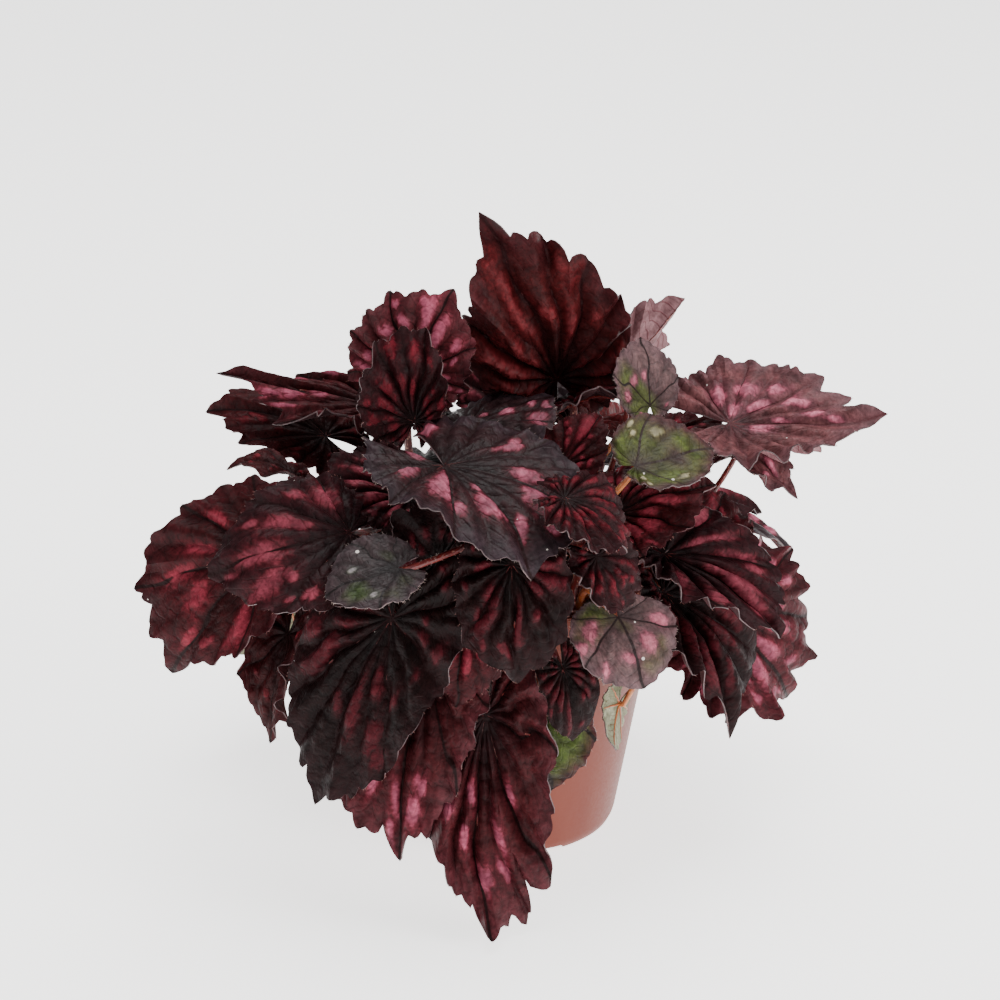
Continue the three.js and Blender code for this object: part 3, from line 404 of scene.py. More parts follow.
# A begonia stem's skin: dull, corky in the scars, with a reddish flush between them.
where = node(tree, "TexCoord", {}).outputs["Object"]
cork = node(tree, "TexNoise", {"Vector": where, "Scale": CORK_PER_METRE, "Detail": 5.0})
flush = node(tree, "TexNoise", {"Vector": where, "Scale": FLUSH_PER_METRE, "Detail": 2.0})
skin = node(tree, "Mix", {0: flush.outputs[0], 6: linear("#5b3324"), 7: linear("#7c4a35")},
            data_type="RGBA").outputs[2]
corky = node(tree, "MapRange", {"Value": cork.outputs[0], "From Min": 0.5, "From Max": 0.7})
tree.links.new(node(tree, "Mix", {0: corky.outputs[0], 6: skin, 7: linear("#9b7a5c")},
                    data_type="RGBA").outputs[2], surface.inputs["Base Color"])
tree.links.new(node(tree, "Bump", {"Height": cork.outputs[0], "Strength": 0.6,
                                   "Distance": 0.3 * MM}).outputs[0], surface.inputs["Normal"])
surface.inputs["Roughness"].default_value = 0.75

for row in RHIZOMES:
    bpy.ops.mesh.primitive_uv_sphere_add(segments=32, ring_count=48, radius=MM)
    stem = bpy.context.object
    stem.name = row["name"] + "_stem"
    points = read_points(stem)
    along = np.arcsin(np.clip(points[:, 2], -1, 1)) / (math.pi / 2)
    half = row["length"] / 2
    place = along * (half + RHIZOME_RADIUS)
    cap = np.clip(np.abs(place) - half, 0, None) / RHIZOME_RADIUS
    girth = np.sqrt(np.clip(1 - cap ** 2, 0, 1))
    angle = np.arctan2(points[:, 1], points[:, 0])
    scars = np.abs(np.sin(math.pi * place / SCAR_SPACING + 0.6 * np.sin(angle))) * SCAR_HEIGHT
    knobs = smooth_random(row["seed"], place / KNOB_SPACING + 30) * np.cos(angle * 2 + place / 5)
    radius = girth * (RHIZOME_RADIUS - RHIZOME_SKIN + scars + KNOB_HEIGHT * knobs)
    turn = math.radians(row["azimuth"])
    side = radius * np.cos(angle)
    points = np.stack([row["x"] + place * math.cos(turn) - side * math.sin(turn),
                       row["y"] + place * math.sin(turn) + side * math.cos(turn),
                       RHIZOME_LEVEL + radius * np.sin(angle)], 1)
    write_points(stem, points)
    bpy.ops.object.mode_set(mode="EDIT")
    bpy.ops.mesh.select_all(action="SELECT")
    bpy.ops.mesh.normals_make_consistent(inside=False)
    bpy.ops.object.mode_set(mode="OBJECT")
    bpy.ops.object.shade_smooth()
    stem.data.materials.append(rhizome_finish)
    stand_for(stem, row["name"])


# Leaves: heart-shaped blades on hairy stalks. A blade is half a millimetre thick, folded between
# its main veins, puckered between the side veins and toothed and waved along its margin. Each
# leaf is one piece, stalk, ribs, bristles and all, and keeps the form and place of its solid.
BLADE_THICKNESS = 0.45
SINUS = math.radians(158)
CELLS_PER_VEIN = 24
CELLS_TO_MARGIN = 28
MARGIN_CROWDING = 0.35
LEAST_TOOTH = 0.1
TOOTH_SHARPNESS = 8
SCALLOPS_PER_VEIN = 5
SCALLOP = 0.05
FRILL = 4
LOBING = 0.035
HEART_RADIUS = 0.39
HEART_SWING = 0.43
HEART_RIPPLE = 0.04
HEART_REACH = HEART_RADIUS + HEART_RIPPLE + HEART_SWING
DRIP_TIP_SPREAD = 0.0336
WANDER = 0.12
SIDE_VEINS = 8
SIDE_VEIN_SLANT = 5
FOLD_DEPTH = 1.1
CREASE_SHARPNESS = 1.3
PUCKER = 0.012
RIPPLE = 0.02
BLOTCH_RISE = 0.7
RIB_STEPS = 12
RIB_THICK = 0.6
RIB_THIN = 0.18
RIB_SINK = 0.3
RIB_SHARES = (0.03, 0.93)
BROAD_STALK = 1.7
PETIOLE_FOOT = 88
PETIOLE_RISE = 0.45
PETIOLE_ARRIVAL = 0.35
PETIOLE_LIFT = 0.8
PETIOLE_BELOW = 0.6
PETIOLE_IN_BLADE = 0.35
PETIOLE_STEPS = 18
PETIOLE_TAPER = ((0, 0.15, 0.85, 1), (1.2, 1, 0.85, 0.8))
STALK_HAIRS_PER_MM = 1.6
MARGIN_HAIRS_PER_VEIN = 14
HAIR_LENGTHS = (0.5, 1.3)
HAIR_WIDTH = 0.09
HAIR_LEAN = 0.35
HAIR_ROOT = 0.1

# Five habits of leaf. Lengths and depths are shares of the blade's length, and petiole is the
# stalk's radius in millimetres. Bend and cup are the turns along and across the blade, in radians,
# and frill is how much of the full frill the hem gets.
BROAD = {"veins": 4, "petiole": 1.7, "width": 0.85, "lobe": 0.45, "drip": 0.14, "skew": 0,
         "sway": 0, "bend": 0.7, "cup": -0.3, "pleat": 0.035, "ruffle": 0.05, "teeth": 0.06,
         "frill": 1}
RUFFLED = {**BROAD, "bend": 0.8, "cup": -0.2, "pleat": 0.06, "ruffle": 0.12, "teeth": 0.1}
PLEATED = {**BROAD, "width": 0.9, "bend": 0.4, "cup": 0.3, "pleat": 0.09, "ruffle": 0.07,
           "teeth": 0.08}
OLD = {**BROAD, "veins": 3, "petiole": 1.3, "width": 1.05, "bend": 0.5, "cup": 0.3,
       "pleat": 0.02, "ruffle": 0.015, "teeth": 0.02}
SMALL = {**BROAD, "veins": 3, "petiole": 1.2, "width": 0.95, "bend": 0.6, "cup": 0.2,
         "pleat": 0.05, "ruffle": 0.1, "teeth": 0.1}


def unit(vector):
    return vector / np.linalg.norm(vector)


def turned(vector, axis, angle):
    """A vector turned about an axis at right angles to it."""
    return vector * math.cos(angle) + np.cross(axis, vector) * math.sin(angle)


def make_form(habit, own):
    """The leaf's own frame: along from joint to tip, up the way its upper face looks."""
    form = {**habit, **own}
    form["joint"] = np.array(form["joint"], float)
    along = np.array(form["tip"], float) - form["joint"]
    span = np.linalg.norm(along)
    form["along"] = along / span
    faces = np.array(form["faces"], float)
    form["up"] = unit(faces - faces @ form["along"] * form["along"])
    form["across"] = np.cross(form["up"], form["along"])
    form["length"] = span * (form["bend"] / 2) / math.sin(form["bend"] / 2)
    form["joint_normal"] = turned(form["up"], form["across"], -form["bend"] / 2)
    return form


def margin(form, vein):
    """The toothed heart outline as shares of the length, ahead of the joint and to its side."""
    angle = vein / form["veins"] * SINUS
    lobe = form["lobe"] / 2
    heart = HEART_RADIUS + lobe + (HEART_SWING - lobe) * np.cos(angle)
    heart += HEART_RIPPLE * np.cos(2 * angle)
    drip = form["drip"] * np.exp(-form["drip"] * np.abs(angle) / DRIP_TIP_SPREAD)
    outline = heart * (1 - form["drip"]) / HEART_REACH + drip
    on_vein = np.cos(math.pi * vein) ** TOOTH_SHARPNESS
    between = np.sin(math.pi * vein) ** TOOTH_SHARPNESS
    size = 0.6 + 0.8 * random_at(form["seed"], np.round(vein * 2) + 50)
    tooth = form["teeth"] * min(1, form["teeth"] / LEAST_TOOTH) * (on_vein + 0.7 * between - 0.5)
    place = vein * SCALLOPS_PER_VEIN + 0.5 * smooth_random(form["seed"] + 0.7, vein * 3 + 70)
    scallop = np.sqrt(np.abs(np.sin(math.pi * place))) - 0.7
    scallop *= SCALLOP * (1 + FRILL * form["ruffle"]) * form["frill"]
    scallop *= 0.4 + random_at(form["seed"] + 0.2, np.floor(place))
    scallop += LOBING * smooth_random(form["seed"] + 0.8, vein * 2.5 + 110)
    scallop *= np.clip(np.abs(angle) / 0.15, 0, 1)
    radius = outline * (1 + form["skew"] * np.sin(angle)) * (1 + tooth * size + scallop)
    return radius * np.cos(angle), radius * np.sin(angle) * form["width"]


def wandering(form, vein, reach):
    """The chart's vein number, bent to and fro so that no vein runs quite straight."""
    slow = smooth_random(form["seed"] + 0.9, reach * 3 + vein * 0.4 + 30)
    quick = smooth_random(form["seed"] + 0.4, reach * 5 + vein * 1.3 + 90)
    return vein + WANDER * reach * (1 - reach) * 4 * (slow + 0.6 * quick)


def relief(form, vein, reach):
    """Creased folds, puckers between the side veins, and a waved, rippled margin."""
    crease = wandering(form, vein, reach)
    fold = np.abs(np.sin(math.pi * crease)) ** CREASE_SHARPNESS
    half_fold = np.abs(np.sin(2 * math.pi * crease)) ** CREASE_SHARPNESS
    strength = 0.5 + random_at(form["seed"] + 0.6, np.floor(2 * crease) + 40)
    half_fold *= strength * np.clip((reach - 0.08) / 0.4, 0, 1)
    folds = 0.6 * half_fold + 0.5 * fold * reach * (1.5 - 0.7 * reach)
    off_vein = np.abs(2 * crease - np.round(2 * crease)) / 2
    side = np.abs(np.sin(math.pi * (SIDE_VEINS * reach - SIDE_VEIN_SLANT * off_vein)))
    puckers = side * (0.3 * fold + half_fold) * reach * (1 - reach ** 6)
    waves = reach ** 4 * smooth_random(form["seed"], vein * 2 + 20)
    ripples = reach ** 5 * smooth_random(form["seed"] + 0.5, vein * 8 + 60)
    return (FOLD_DEPTH * form["pleat"] * folds + PUCKER * puckers + form["ruffle"] * waves
            + (RIPPLE + 0.4 * form["ruffle"]) * form["frill"] * ripples) * form["length"]


def blade_points(form, vein, reach):
    """Points of the blade: the flat outline rolled across, then arched along."""
    ahead, aside = margin(form, vein)
    length = form["length"]
    share = ahead * reach
    swing = form["sway"] * np.where(share > 0, share * (share - 1), 0)
    flat_across = (aside * reach + swing) * length
    height = relief(form, vein, reach)
    curl = form["cup"] / length if form["cup"] else 1e-9
    roll = curl * flat_across
    side = np.sin(roll) / curl - np.sin(roll) * height
    rise = (1 - np.cos(roll)) / curl + np.cos(roll) * height
    turn = form["bend"] * (0.5 - share)
    arch = length / form["bend"]
    forward = arch * (math.sin(form["bend"] / 2) - np.sin(turn)) - np.sin(turn) * rise
    lift = arch * (np.cos(turn) - math.cos(form["bend"] / 2)) + np.cos(turn) * rise
    return (form["joint"] + forward[..., None] * form["along"] + side[..., None] * form["across"]
            + lift[..., None] * form["up"]), np.stack([share * length, flat_across], -1)


def blade_normals(form, vein, reach):
    """Which way the upper face looks."""
    around = blade_points(form, vein + 0.02, reach)[0] - blade_points(form, vein - 0.02, reach)[0]
    outward = blade_points(form, vein, reach + 0.01)[0] - blade_points(form, vein, reach - 0.01)[0]
    normals = np.cross(outward, around)
    return normals / np.linalg.norm(normals, axis=-1, keepdims=True)


def flash_field(vein, reach, flashes):
    """How far inside the nearest blotch each point is: 1 in its middle, 0 on its edge."""
    field = np.full(vein.shape, -3.0)
    for middle_vein, middle_reach, half_width, half_length in flashes:
        near = 1 - np.hypot((vein - middle_vein) / half_width, (reach - middle_reach) / half_length)
        field = np.maximum(field, near)
    return field


def grown_flashes(form, share, spread, start, length):
    """Blotches as they grow by themselves: a long one on a fold, two short ones or a spot."""
    made = []
    for step in range(4 * form["veins"]):
        middle = (step + 0.5) / 2 - form["veins"]
        draws = random_at(form["seed"] + 0.3, step * 8 + np.arange(8))
        half = length * (0.5 + 0.7 * draws[1])
        centre = start + half + 0.2 * draws[2]
        width = spread * (0.7 + 0.6 * draws[3])
        place = middle + 0.12 * (draws[4] - 0.5)
        if draws[0] > share:
            if draws[7] < share:
                made.append((place, 0.45 + 0.4 * draws[2], width * 0.8, 0.06))
            continue
        if draws[5] < 0.4 and half > 0.12:
            made.append((place, centre - half * 0.55, width * 0.9, half * 0.55))
            made.append((place - 0.03, centre + half * 0.65, width * 1.1, half * 0.45))
        else:
            made.append((place, centre, width, half))
        if draws[6] < 0.35:
            made.append((place + 0.1, min(centre + half + 0.1, 0.88), width * 0.7, 0.07))
    return made


def tube(name, paths, girths, sides):
    """Round tubes through paths of points, in millimetres, each with its own girths."""
    curve = bpy.data.curves.new(name, "CURVE")
    curve.dimensions = "3D"
    curve.bevel_depth = MM
    curve.bevel_resolution = sides
    curve.use_fill_caps = True
    for path, girth in zip(paths, girths):
        spline = curve.splines.new("POLY")
        spline.points.add(len(path) - 1)
        spline.points.foreach_set("co", np.column_stack([path * MM, np.ones(len(path))]).ravel())
        spline.points.foreach_set("radius", girth)
    made = bpy.data.objects.new(name, curve)
    bpy.context.collection.objects.link(made)
    bpy.ops.object.select_all(action="DESELECT")
    bpy.context.view_layer.objects.active = made
    made.select_set(True)
    bpy.ops.object.convert(target="MESH")
    return bpy.context.object


def petiole_path(form, steps):
    """The stalk's middle line, from its foot in the soil to just inside the blade."""
    start = np.array([*form["root"], PETIOLE_FOOT], float)
    below = form["petiole"] + PETIOLE_BELOW
    end = form["joint"] - form["joint_normal"] * below
    way = end - start
    distance = np.linalg.norm(way)
    arrival = unit(way / distance + PETIOLE_LIFT * form["up"])
    bow = np.array(form["bow"], float)
    climb = start + bow + (0, 0, PETIOLE_RISE * distance)
    approach = end - PETIOLE_ARRIVAL * distance * arrival + bow
    share = np.linspace(0, 1, steps)[:, None]
    path = ((1 - share) ** 3 * start + 3 * (1 - share) ** 2 * share * climb
            + 3 * (1 - share) * share ** 2 * approach + share ** 3 * end)
    return np.vstack([path, form["joint"] - form["joint_normal"] * PETIOLE_IN_BLADE * below])


bpy.ops.mesh.primitive_cone_add(vertices=3, radius1=MM, radius2=0, depth=MM,
                                end_fill_type="NGON", location=(0, 0, 0.5 * MM))
bpy.ops.object.transform_apply(location=True)
bpy.ops.object.mode_set(mode="EDIT")
bpy.ops.mesh.quads_convert_to_tris()
bpy.ops.object.mode_set(mode="OBJECT")
hair_shape = bpy.context.object


def bristles(name, places, ways, draw, finish):
    """Short tapered hairs that stand at places and lean the given ways."""
    count = len(places)
    ways = ways + draw.normal(0, HAIR_LEAN, (count, 3))
    tall = ways / np.linalg.norm(ways, axis=1, keepdims=True)
    side = np.cross(tall, (0.3, 0.5, 0.8))
    side /= np.linalg.norm(side, axis=1, keepdims=True)
    turns = np.stack([side, np.cross(tall, side), tall], 2)
    lengths = draw.uniform(*HAIR_LENGTHS, count)
    sizes = np.stack([np.full(count, HAIR_WIDTH), np.full(count, HAIR_WIDTH), lengths], 1)
    made = strew(name, hair_shape, places - HAIR_ROOT * tall, turns, sizes)
    made.data.materials.append(finish)
    return made


def leaf(name, habit, look, flashes=None, **own):
    """Grows one leaf: blade, ribs, stalk and hairs, joined to one piece."""
    form = make_form(habit, {"bow": (0, 0, 0), **own})
    veins = form["veins"]
    draw = np.random.default_rng(form["seed"])
    bpy.ops.object.select_all(action="DESELECT")
    bpy.ops.mesh.primitive_grid_add(x_subdivisions=2 * veins * CELLS_PER_VEIN,
                                    y_subdivisions=CELLS_TO_MARGIN, size=2)
    blade = bpy.context.object
    blade.name = name + "_leaf"
    grid = read_points(blade) * MM
    vein = grid[:, 0] * veins
    out = (grid[:, 1] + 1) / 2
    reach = out * (1 + MARGIN_CROWDING - MARGIN_CROWDING * out)
    if flashes is None:
        flashes = grown_flashes(form, *look["flashes"])
    crease = wandering(form, vein, reach)
    flash = flash_field(crease, reach, flashes)
    points, flat = blade_points(form, vein, reach)
    rise = BLOTCH_RISE * np.clip(flash, 0, 1) * (1 - reach ** 8)
    normals = blade_normals(form, vein, np.clip(reach, 0.02, 0.99))
    write_points(blade, points + normals * rise[:, None])

    corners = np.empty(len(blade.data.loops), int)
    blade.data.loops.foreach_get("vertex_index", corners)
    chart = blade.data.uv_layers[0]
    chart.name = "blade"
    chart.data.foreach_set("uv", np.stack([crease, reach], 1)[corners].ravel())
    offset = np.array([form["seed"] * 37.0, form["seed"] * 19.0])
    flat_map = blade.data.attributes.new("flat_mm", "FLOAT_VECTOR", "POINT")
    flat_map.data.foreach_set("vector", np.column_stack([flat + offset, 0 * vein]).ravel())
    field = blade.data.attributes.new("flash", "FLOAT", "POINT")
    field.data.foreach_set("value", flash)

    # The chart's first row is the joint, where all the cells meet in one point.
    bpy.ops.object.mode_set(mode="EDIT")
    bpy.ops.mesh.select_all(action="SELECT")
    bpy.ops.mesh.remove_doubles(threshold=0.001 * MM)
    bpy.ops.mesh.flip_normals()
    bpy.ops.object.mode_set(mode="OBJECT")
    for finish in (look["upper"], look["under"], look["rim"]):
        blade.data.materials.append(finish)
    apply_modifier(blade, "SOLIDIFY", thickness=BLADE_THICKNESS * MM, offset=0,
                   material_offset=1, material_offset_rim=2)

    share = np.linspace(*RIB_SHARES, RIB_STEPS)
    rib_veins = np.arange(1 - veins, veins)
    under = [blade_points(form, np.full(RIB_STEPS, vein), share)[0]
             - blade_normals(form, np.full(RIB_STEPS, vein), share) * RIB_SINK
             for vein in rib_veins]
    thick = RIB_THICK * form["petiole"] / BROAD_STALK
    girths = [np.linspace(thick, RIB_THIN, RIB_STEPS)] * len(rib_veins)
    ribs = tube("ribs", under, girths, 1)
    ribs.data.materials.append(look["stalk"])

    path = petiole_path(form, PETIOLE_STEPS)
    girth = form["petiole"] * np.interp(np.linspace(0, 1, len(path)), *PETIOLE_TAPER)
    stalk = tube("stalk", [path], [girth], 3)
    stalk.data.materials.append(look["stalk"])

    lengths = np.linalg.norm(np.diff(path, axis=0), axis=1)
    count = int(lengths.sum() * STALK_HAIRS_PER_MM)
    spot = draw.uniform(2, len(path) - 2, count)
    base = np.stack([np.interp(spot, np.arange(len(path)), path[:, k]) for k in range(3)], 1)
    lean = draw.normal(size=(count, 3))
    run = path[np.floor(spot).astype(int) + 1] - path[np.floor(spot).astype(int)]
    run /= np.linalg.norm(run, axis=1, keepdims=True)
    lean -= np.sum(lean * run, 1, keepdims=True) * run
    lean /= np.linalg.norm(lean, axis=1, keepdims=True)
    radius = np.interp(spot, np.arange(len(path)), girth)[:, None]
    hairs = bristles("stalk_hairs", base + lean * (radius - HAIR_ROOT), lean, draw, look["hair"])

    place = draw.uniform(-veins, veins, 2 * veins * MARGIN_HAIRS_PER_VEIN)
    edge = blade_points(form, place, np.ones(len(place)))[0]
    outward = edge - blade_points(form, place, np.full(len(place), 0.97))[0]
    outward /= np.linalg.norm(outward, axis=1, keepdims=True)
    fringe = bristles("margin_hairs", edge, outward, draw, look["hair"])

    join_pieces([blade, ribs, stalk, hairs, fringe])
    bpy.ops.object.shade_smooth_by_angle(angle=CRISP)
    stand_for(blade, name)
    return blade


# Leaf finishes. The blades are living leaf, with a satin, finely hairy skin that greys where it
# catches the light. On the dark leaves a painted grey sheen also greys a band towards the margin.
# The upper face is near-black or wine between red or pink blotches that the veins cut up, the
# underside is paler and dull, and the margin is a thin pale line. Sizes, spacings and reliefs are
# in millimetres. The widths of the painted valley shade and of the side veins count from their
# middle, as shares of the space between two main veins and between two side veins.
BLISTER_SIZE = 3.6
CLOUD_SIZE = 5
GRAIN_SIZE = 1.3
STAIN_SIZE = 24
LIME_SPACING = 7
VALLEY_SHADE_WIDTH = 0.09
SIDE_VEIN_WIDTH = 0.14
SKIN_RELIEF = 0.4
UNDER_CLOUD_SIZE = 6
UNDER_GRAIN_SIZE = 1.2
UNDER_RELIEF = 0.3
PATCHES_PER_METRE = 180
FLECKS_PER_METRE = 900


def blade_finish(name, ground, heart, edge, halo, flash, flash_deep_and_shade, stain="#000000",
                 stain_from=1.0, vein_shade="#1c0a0b", vein_width=0.03, ragged=0.5, roughness=0.42,
                 gloss=0.08, velvet=0.003, speck_size=0.04, speck_share=0.2):
    """The upper face. Soft blotches fill the flash field, painted deeper red at their rims as shade
    and paler in their raised middles as light, with random changes of tone as well.
    """
    made, tree, surface = new_finish(name)
    chart = node(tree, "SeparateXYZ", {0: node(tree, "UVMap", {}, uv_map="blade").outputs[0]})
    vein, reach = chart.outputs[0], chart.outputs[1]
    flat = node(tree, "Attribute", {}, attribute_name="flat_mm").outputs["Vector"]
    field = node(tree, "Attribute", {}, attribute_name="flash").outputs["Fac"]
    coarse = node(tree, "TexNoise", {"Vector": flat, "Scale": 1 / CLOUD_SIZE,
                                     "Detail": 2.0}).outputs[0]
    fine = node(tree, "TexNoise", {"Vector": flat, "Scale": 1 / GRAIN_SIZE,
                                   "Detail": 3.0}).outputs[0]
    broad = node(tree, "TexNoise", {"Vector": flat, "Scale": 1 / STAIN_SIZE,
                                    "Detail": 1.0}).outputs[0]
    blister = node(tree, "TexVoronoi", {"Vector": flat, "Scale": 1 / BLISTER_SIZE,
                                        "Smoothness": 0.7}, feature="SMOOTH_F1")
    own = node(tree, "SeparateColor", {0: blister.outputs["Color"]}).outputs[0]
    slump = node(tree, "Math", {0: blister.outputs["Distance"], 1: 2.0},
                 operation="POWER").outputs[0]

    # Veins and the fold valleys lie at whole and half numbers of the chart, and side veins slant
    # off them outwards. The valley mask is painted shade in the folds.
    off_main = node(tree, "Math", {0: vein, 1: 0.5}, operation="PINGPONG").outputs[0]
    apart = node(tree, "Math", {0: off_main, 1: reach}, operation="MULTIPLY").outputs[0]
    main = node(tree, "MapRange", {"Value": apart, "From Min": vein_width * 0.2,
                                   "From Max": vein_width, "To Min": 1.0, "To Max": 0.0},
                interpolation_type="SMOOTHSTEP").outputs[0]
    off_vein = node(tree, "Math", {0: vein, 1: 0.25}, operation="PINGPONG").outputs[0]
    painted_valley_shade = node(tree, "MapRange", {"Value": off_vein, "From Min": 0.0, "From Max": VALLEY_SHADE_WIDTH,
                                     "To Min": 1.0, "To Max": 0.0},
                  interpolation_type="SMOOTHSTEP").outputs[0]
    slant = node(tree, "Math", {0: off_vein, 1: -SIDE_VEIN_SLANT},
                 operation="MULTIPLY").outputs[0]
    phase = node(tree, "Math", {0: reach, 1: SIDE_VEINS, 2: slant},
                 operation="MULTIPLY_ADD").outputs[0]
    bent = node(tree, "Math", {0: coarse, 1: 0.5, 2: phase}, operation="MULTIPLY_ADD").outputs[0]
    gap = node(tree, "Math", {0: bent, 1: 0.5}, operation="PINGPONG").outputs[0]
    side = node(tree, "MapRange", {"Value": gap, "From Min": 0.0, "From Max": SIDE_VEIN_WIDTH,
                                   "To Min": 1.0, "To Max": 0.0},
                interpolation_type="SMOOTHSTEP").outputs[0]

    # Blotches: the field, made ragged by two sizes of noise and cut back by the veins.
    worn = node(tree, "Math", {0: coarse, 1: ragged, 2: field}, operation="MULTIPLY_ADD").outputs[0]
    worn = node(tree, "Math", {0: fine, 1: ragged * 0.6, 2: worn},
                operation="MULTIPLY_ADD").outputs[0]
    worn = node(tree, "Math", {0: own, 1: ragged * 0.6, 2: worn},
                operation="MULTIPLY_ADD").outputs[0]
    worn = node(tree, "Math", {0: side, 1: -0.15, 2: worn}, operation="MULTIPLY_ADD").outputs[0]
    worn = node(tree, "Math", {0: main, 1: -0.6, 2: worn}, operation="MULTIPLY_ADD").outputs[0]
    level = ragged * 1.1
    blotch = node(tree, "MapRange", {"Value": worn, "From Min": level - 0.15,
                                     "From Max": level + 0.35},
                  interpolation_type="SMOOTHSTEP").outputs[0]
    inside = node(tree, "MapRange", {"Value": worn, "From Min": level + 0.1,
                                     "From Max": level + 0.65}).outputs[0]
    around = node(tree, "MapRange", {"Value": worn, "From Min": level - 0.9, "From Max": level,
                                     "To Max": 0.8}).outputs[0]

    # Ground: darkest round the joint and, with painted shade, in the fold valleys. It is greyer
    # towards the margin, where the edge colour is a painted grey sheen on the dark leaves and the
    # green leaves' own red margin.
    middle = node(tree, "MapRange", {"Value": reach, "From Min": 0.1, "From Max": 0.6}).outputs[0]
    shade = node(tree, "Mix", {0: middle, 6: linear(heart), 7: linear(ground)},
                 data_type="RGBA").outputs[2]
    stained = node(tree, "MapRange", {"Value": broad, "From Min": stain_from,
                                      "From Max": stain_from + 0.1}).outputs[0]
    shade = node(tree, "Mix", {0: stained, 6: shade, 7: linear(stain)}, data_type="RGBA").outputs[2]
    # The band towards the margin: on the dark leaves a painted grey sheen, on the green leaves
    # their own red margin colour.
    rim_wave = node(tree, "Math", {0: coarse, 1: 0.2, 2: reach},
                    operation="MULTIPLY_ADD").outputs[0]
    sheen_and_margin_band = node(tree, "MapRange", {"Value": rim_wave, "From Min": 0.85,
                                   "From Max": 1.08}).outputs[0]
    shade = node(tree, "Mix", {0: sheen_and_margin_band, 6: shade, 7: linear(edge)}, data_type="RGBA").outputs[2]
    shade = node(tree, "Mix", {0: around, 6: shade, 7: linear(halo)}, data_type="RGBA").outputs[2]
    # Mottle: a random tone, times painted light on each blister's top and painted shade in the dips
    # between blisters.
    mottle = node(tree, "MapRange", {"Value": fine, "From Min": 0.3, "From Max": 0.75,
                                     "To Min": 0.7, "To Max": 1.4}).outputs[0]
    blister_light_and_shade = node(tree, "MapRange", {"Value": slump, "From Min": 0.0, "From Max": 0.5,
                                    "To Min": 1.2, "To Max": 0.6}).outputs[0]
    mottle = node(tree, "Math", {0: mottle, 1: blister_light_and_shade}, operation="MULTIPLY").outputs[0]
    shade = node(tree, "Mix", {0: 1.0, 6: shade, 7: mottle}, data_type="RGBA",
                 blend_type="MULTIPLY").outputs[2]
    # Dark lines: the main and side veins in their own dark colour, and painted shade along the fold
    # valleys, stronger away from the joint.
    veins_and_valley_shade = node(tree, "Math", {0: side, 1: 0.25, 2: main}, operation="MULTIPLY_ADD").outputs[0]
    valley_shade_strength = node(tree, "MapRange", {"Value": reach, "From Min": 0.1, "From Max": 0.5,
                                     "To Max": 0.3}).outputs[0]
    veins_and_valley_shade = node(tree, "Math", {0: painted_valley_shade, 1: valley_shade_strength, 2: veins_and_valley_shade}, operation="MULTIPLY_ADD",
                 use_clamp=True).outputs[0]
    shade = node(tree, "Mix", {0: veins_and_valley_shade, 6: shade, 7: linear(vein_shade)},
                 data_type="RGBA").outputs[2]
    # Blotch colour: deep red at the rims as painted shade, the paler flash colour in the raised
    # middles as painted light, shifted at random by the coarse noise.
    tone = node(tree, "Math", {0: coarse, 1: 0.6, 2: inside}, operation="MULTIPLY_ADD").outputs[0]
    tone = node(tree, "MapRange", {"Value": tone, "From Min": 0.3, "From Max": 1.2}).outputs[0]
    glow = node(tree, "Mix", {0: tone, 6: linear(flash_deep_and_shade), 7: linear(flash)},
                data_type="RGBA").outputs[2]
    glow = node(tree, "Mix", {0: 1.0, 6: glow, 7: mottle}, data_type="RGBA",
                blend_type="MULTIPLY").outputs[2]
    net = node(tree, "Math", {0: side, 1: 0.3}, operation="MULTIPLY").outputs[0]
    glow = node(tree, "Mix", {0: net, 6: glow, 7: linear(flash_deep_and_shade)}, data_type="RGBA").outputs[2]
    shade = node(tree, "Mix", {0: blotch, 6: shade, 7: glow}, data_type="RGBA").outputs[2]

    # Specks: a few spots of lime from watering, half a millimetre to a little over one across.
    cell = node(tree, "TexVoronoi", {"Vector": flat, "Scale": 1 / LIME_SPACING}, feature="F1")
    dot = node(tree, "Math", {0: cell.outputs["Distance"], 1: speck_size},
               operation="LESS_THAN").outputs[0]
    pick = node(tree, "SeparateColor", {0: cell.outputs["Color"]}).outputs[0]
    few = node(tree, "Math", {0: pick, 1: speck_share}, operation="LESS_THAN").outputs[0]
    speck = node(tree, "Math", {0: dot, 1: few}, operation="MULTIPLY").outputs[0]
    shade = node(tree, "Mix", {0: speck, 6: shade, 7: linear("#c9c1bb")},
                 data_type="RGBA").outputs[2]
    tree.links.new(shade, surface.inputs["Base Color"])

    # Gloss and relief: pebbly skin with sunken side veins.
    dull = node(tree, "MapRange", {"Value": fine, "From Min": 0.3, "From Max": 0.7,
                                   "To Min": roughness - 0.06, "To Max": roughness + 0.1})
    tree.links.new(dull.outputs[0], surface.inputs["Roughness"])
    height = node(tree, "Math", {0: side, 1: -0.3, 2: fine}, operation="MULTIPLY_ADD").outputs[0]
    height = node(tree, "Math", {0: slump, 1: -2.2, 2: height},
                  operation="MULTIPLY_ADD").outputs[0]
    tree.links.new(node(tree, "Bump", {"Height": height, "Strength": 0.8,
                                       "Distance": SKIN_RELIEF * MM}).outputs[0],
                   surface.inputs["Normal"])
    surface.inputs["Specular IOR Level"].default_value = gloss
    surface.inputs["Sheen Weight"].default_value = velvet
    surface.inputs["Sheen Roughness"].default_value = 0.4
    surface.inputs["Sheen Tint"].default_value = linear("#c8b4ba")
    return made


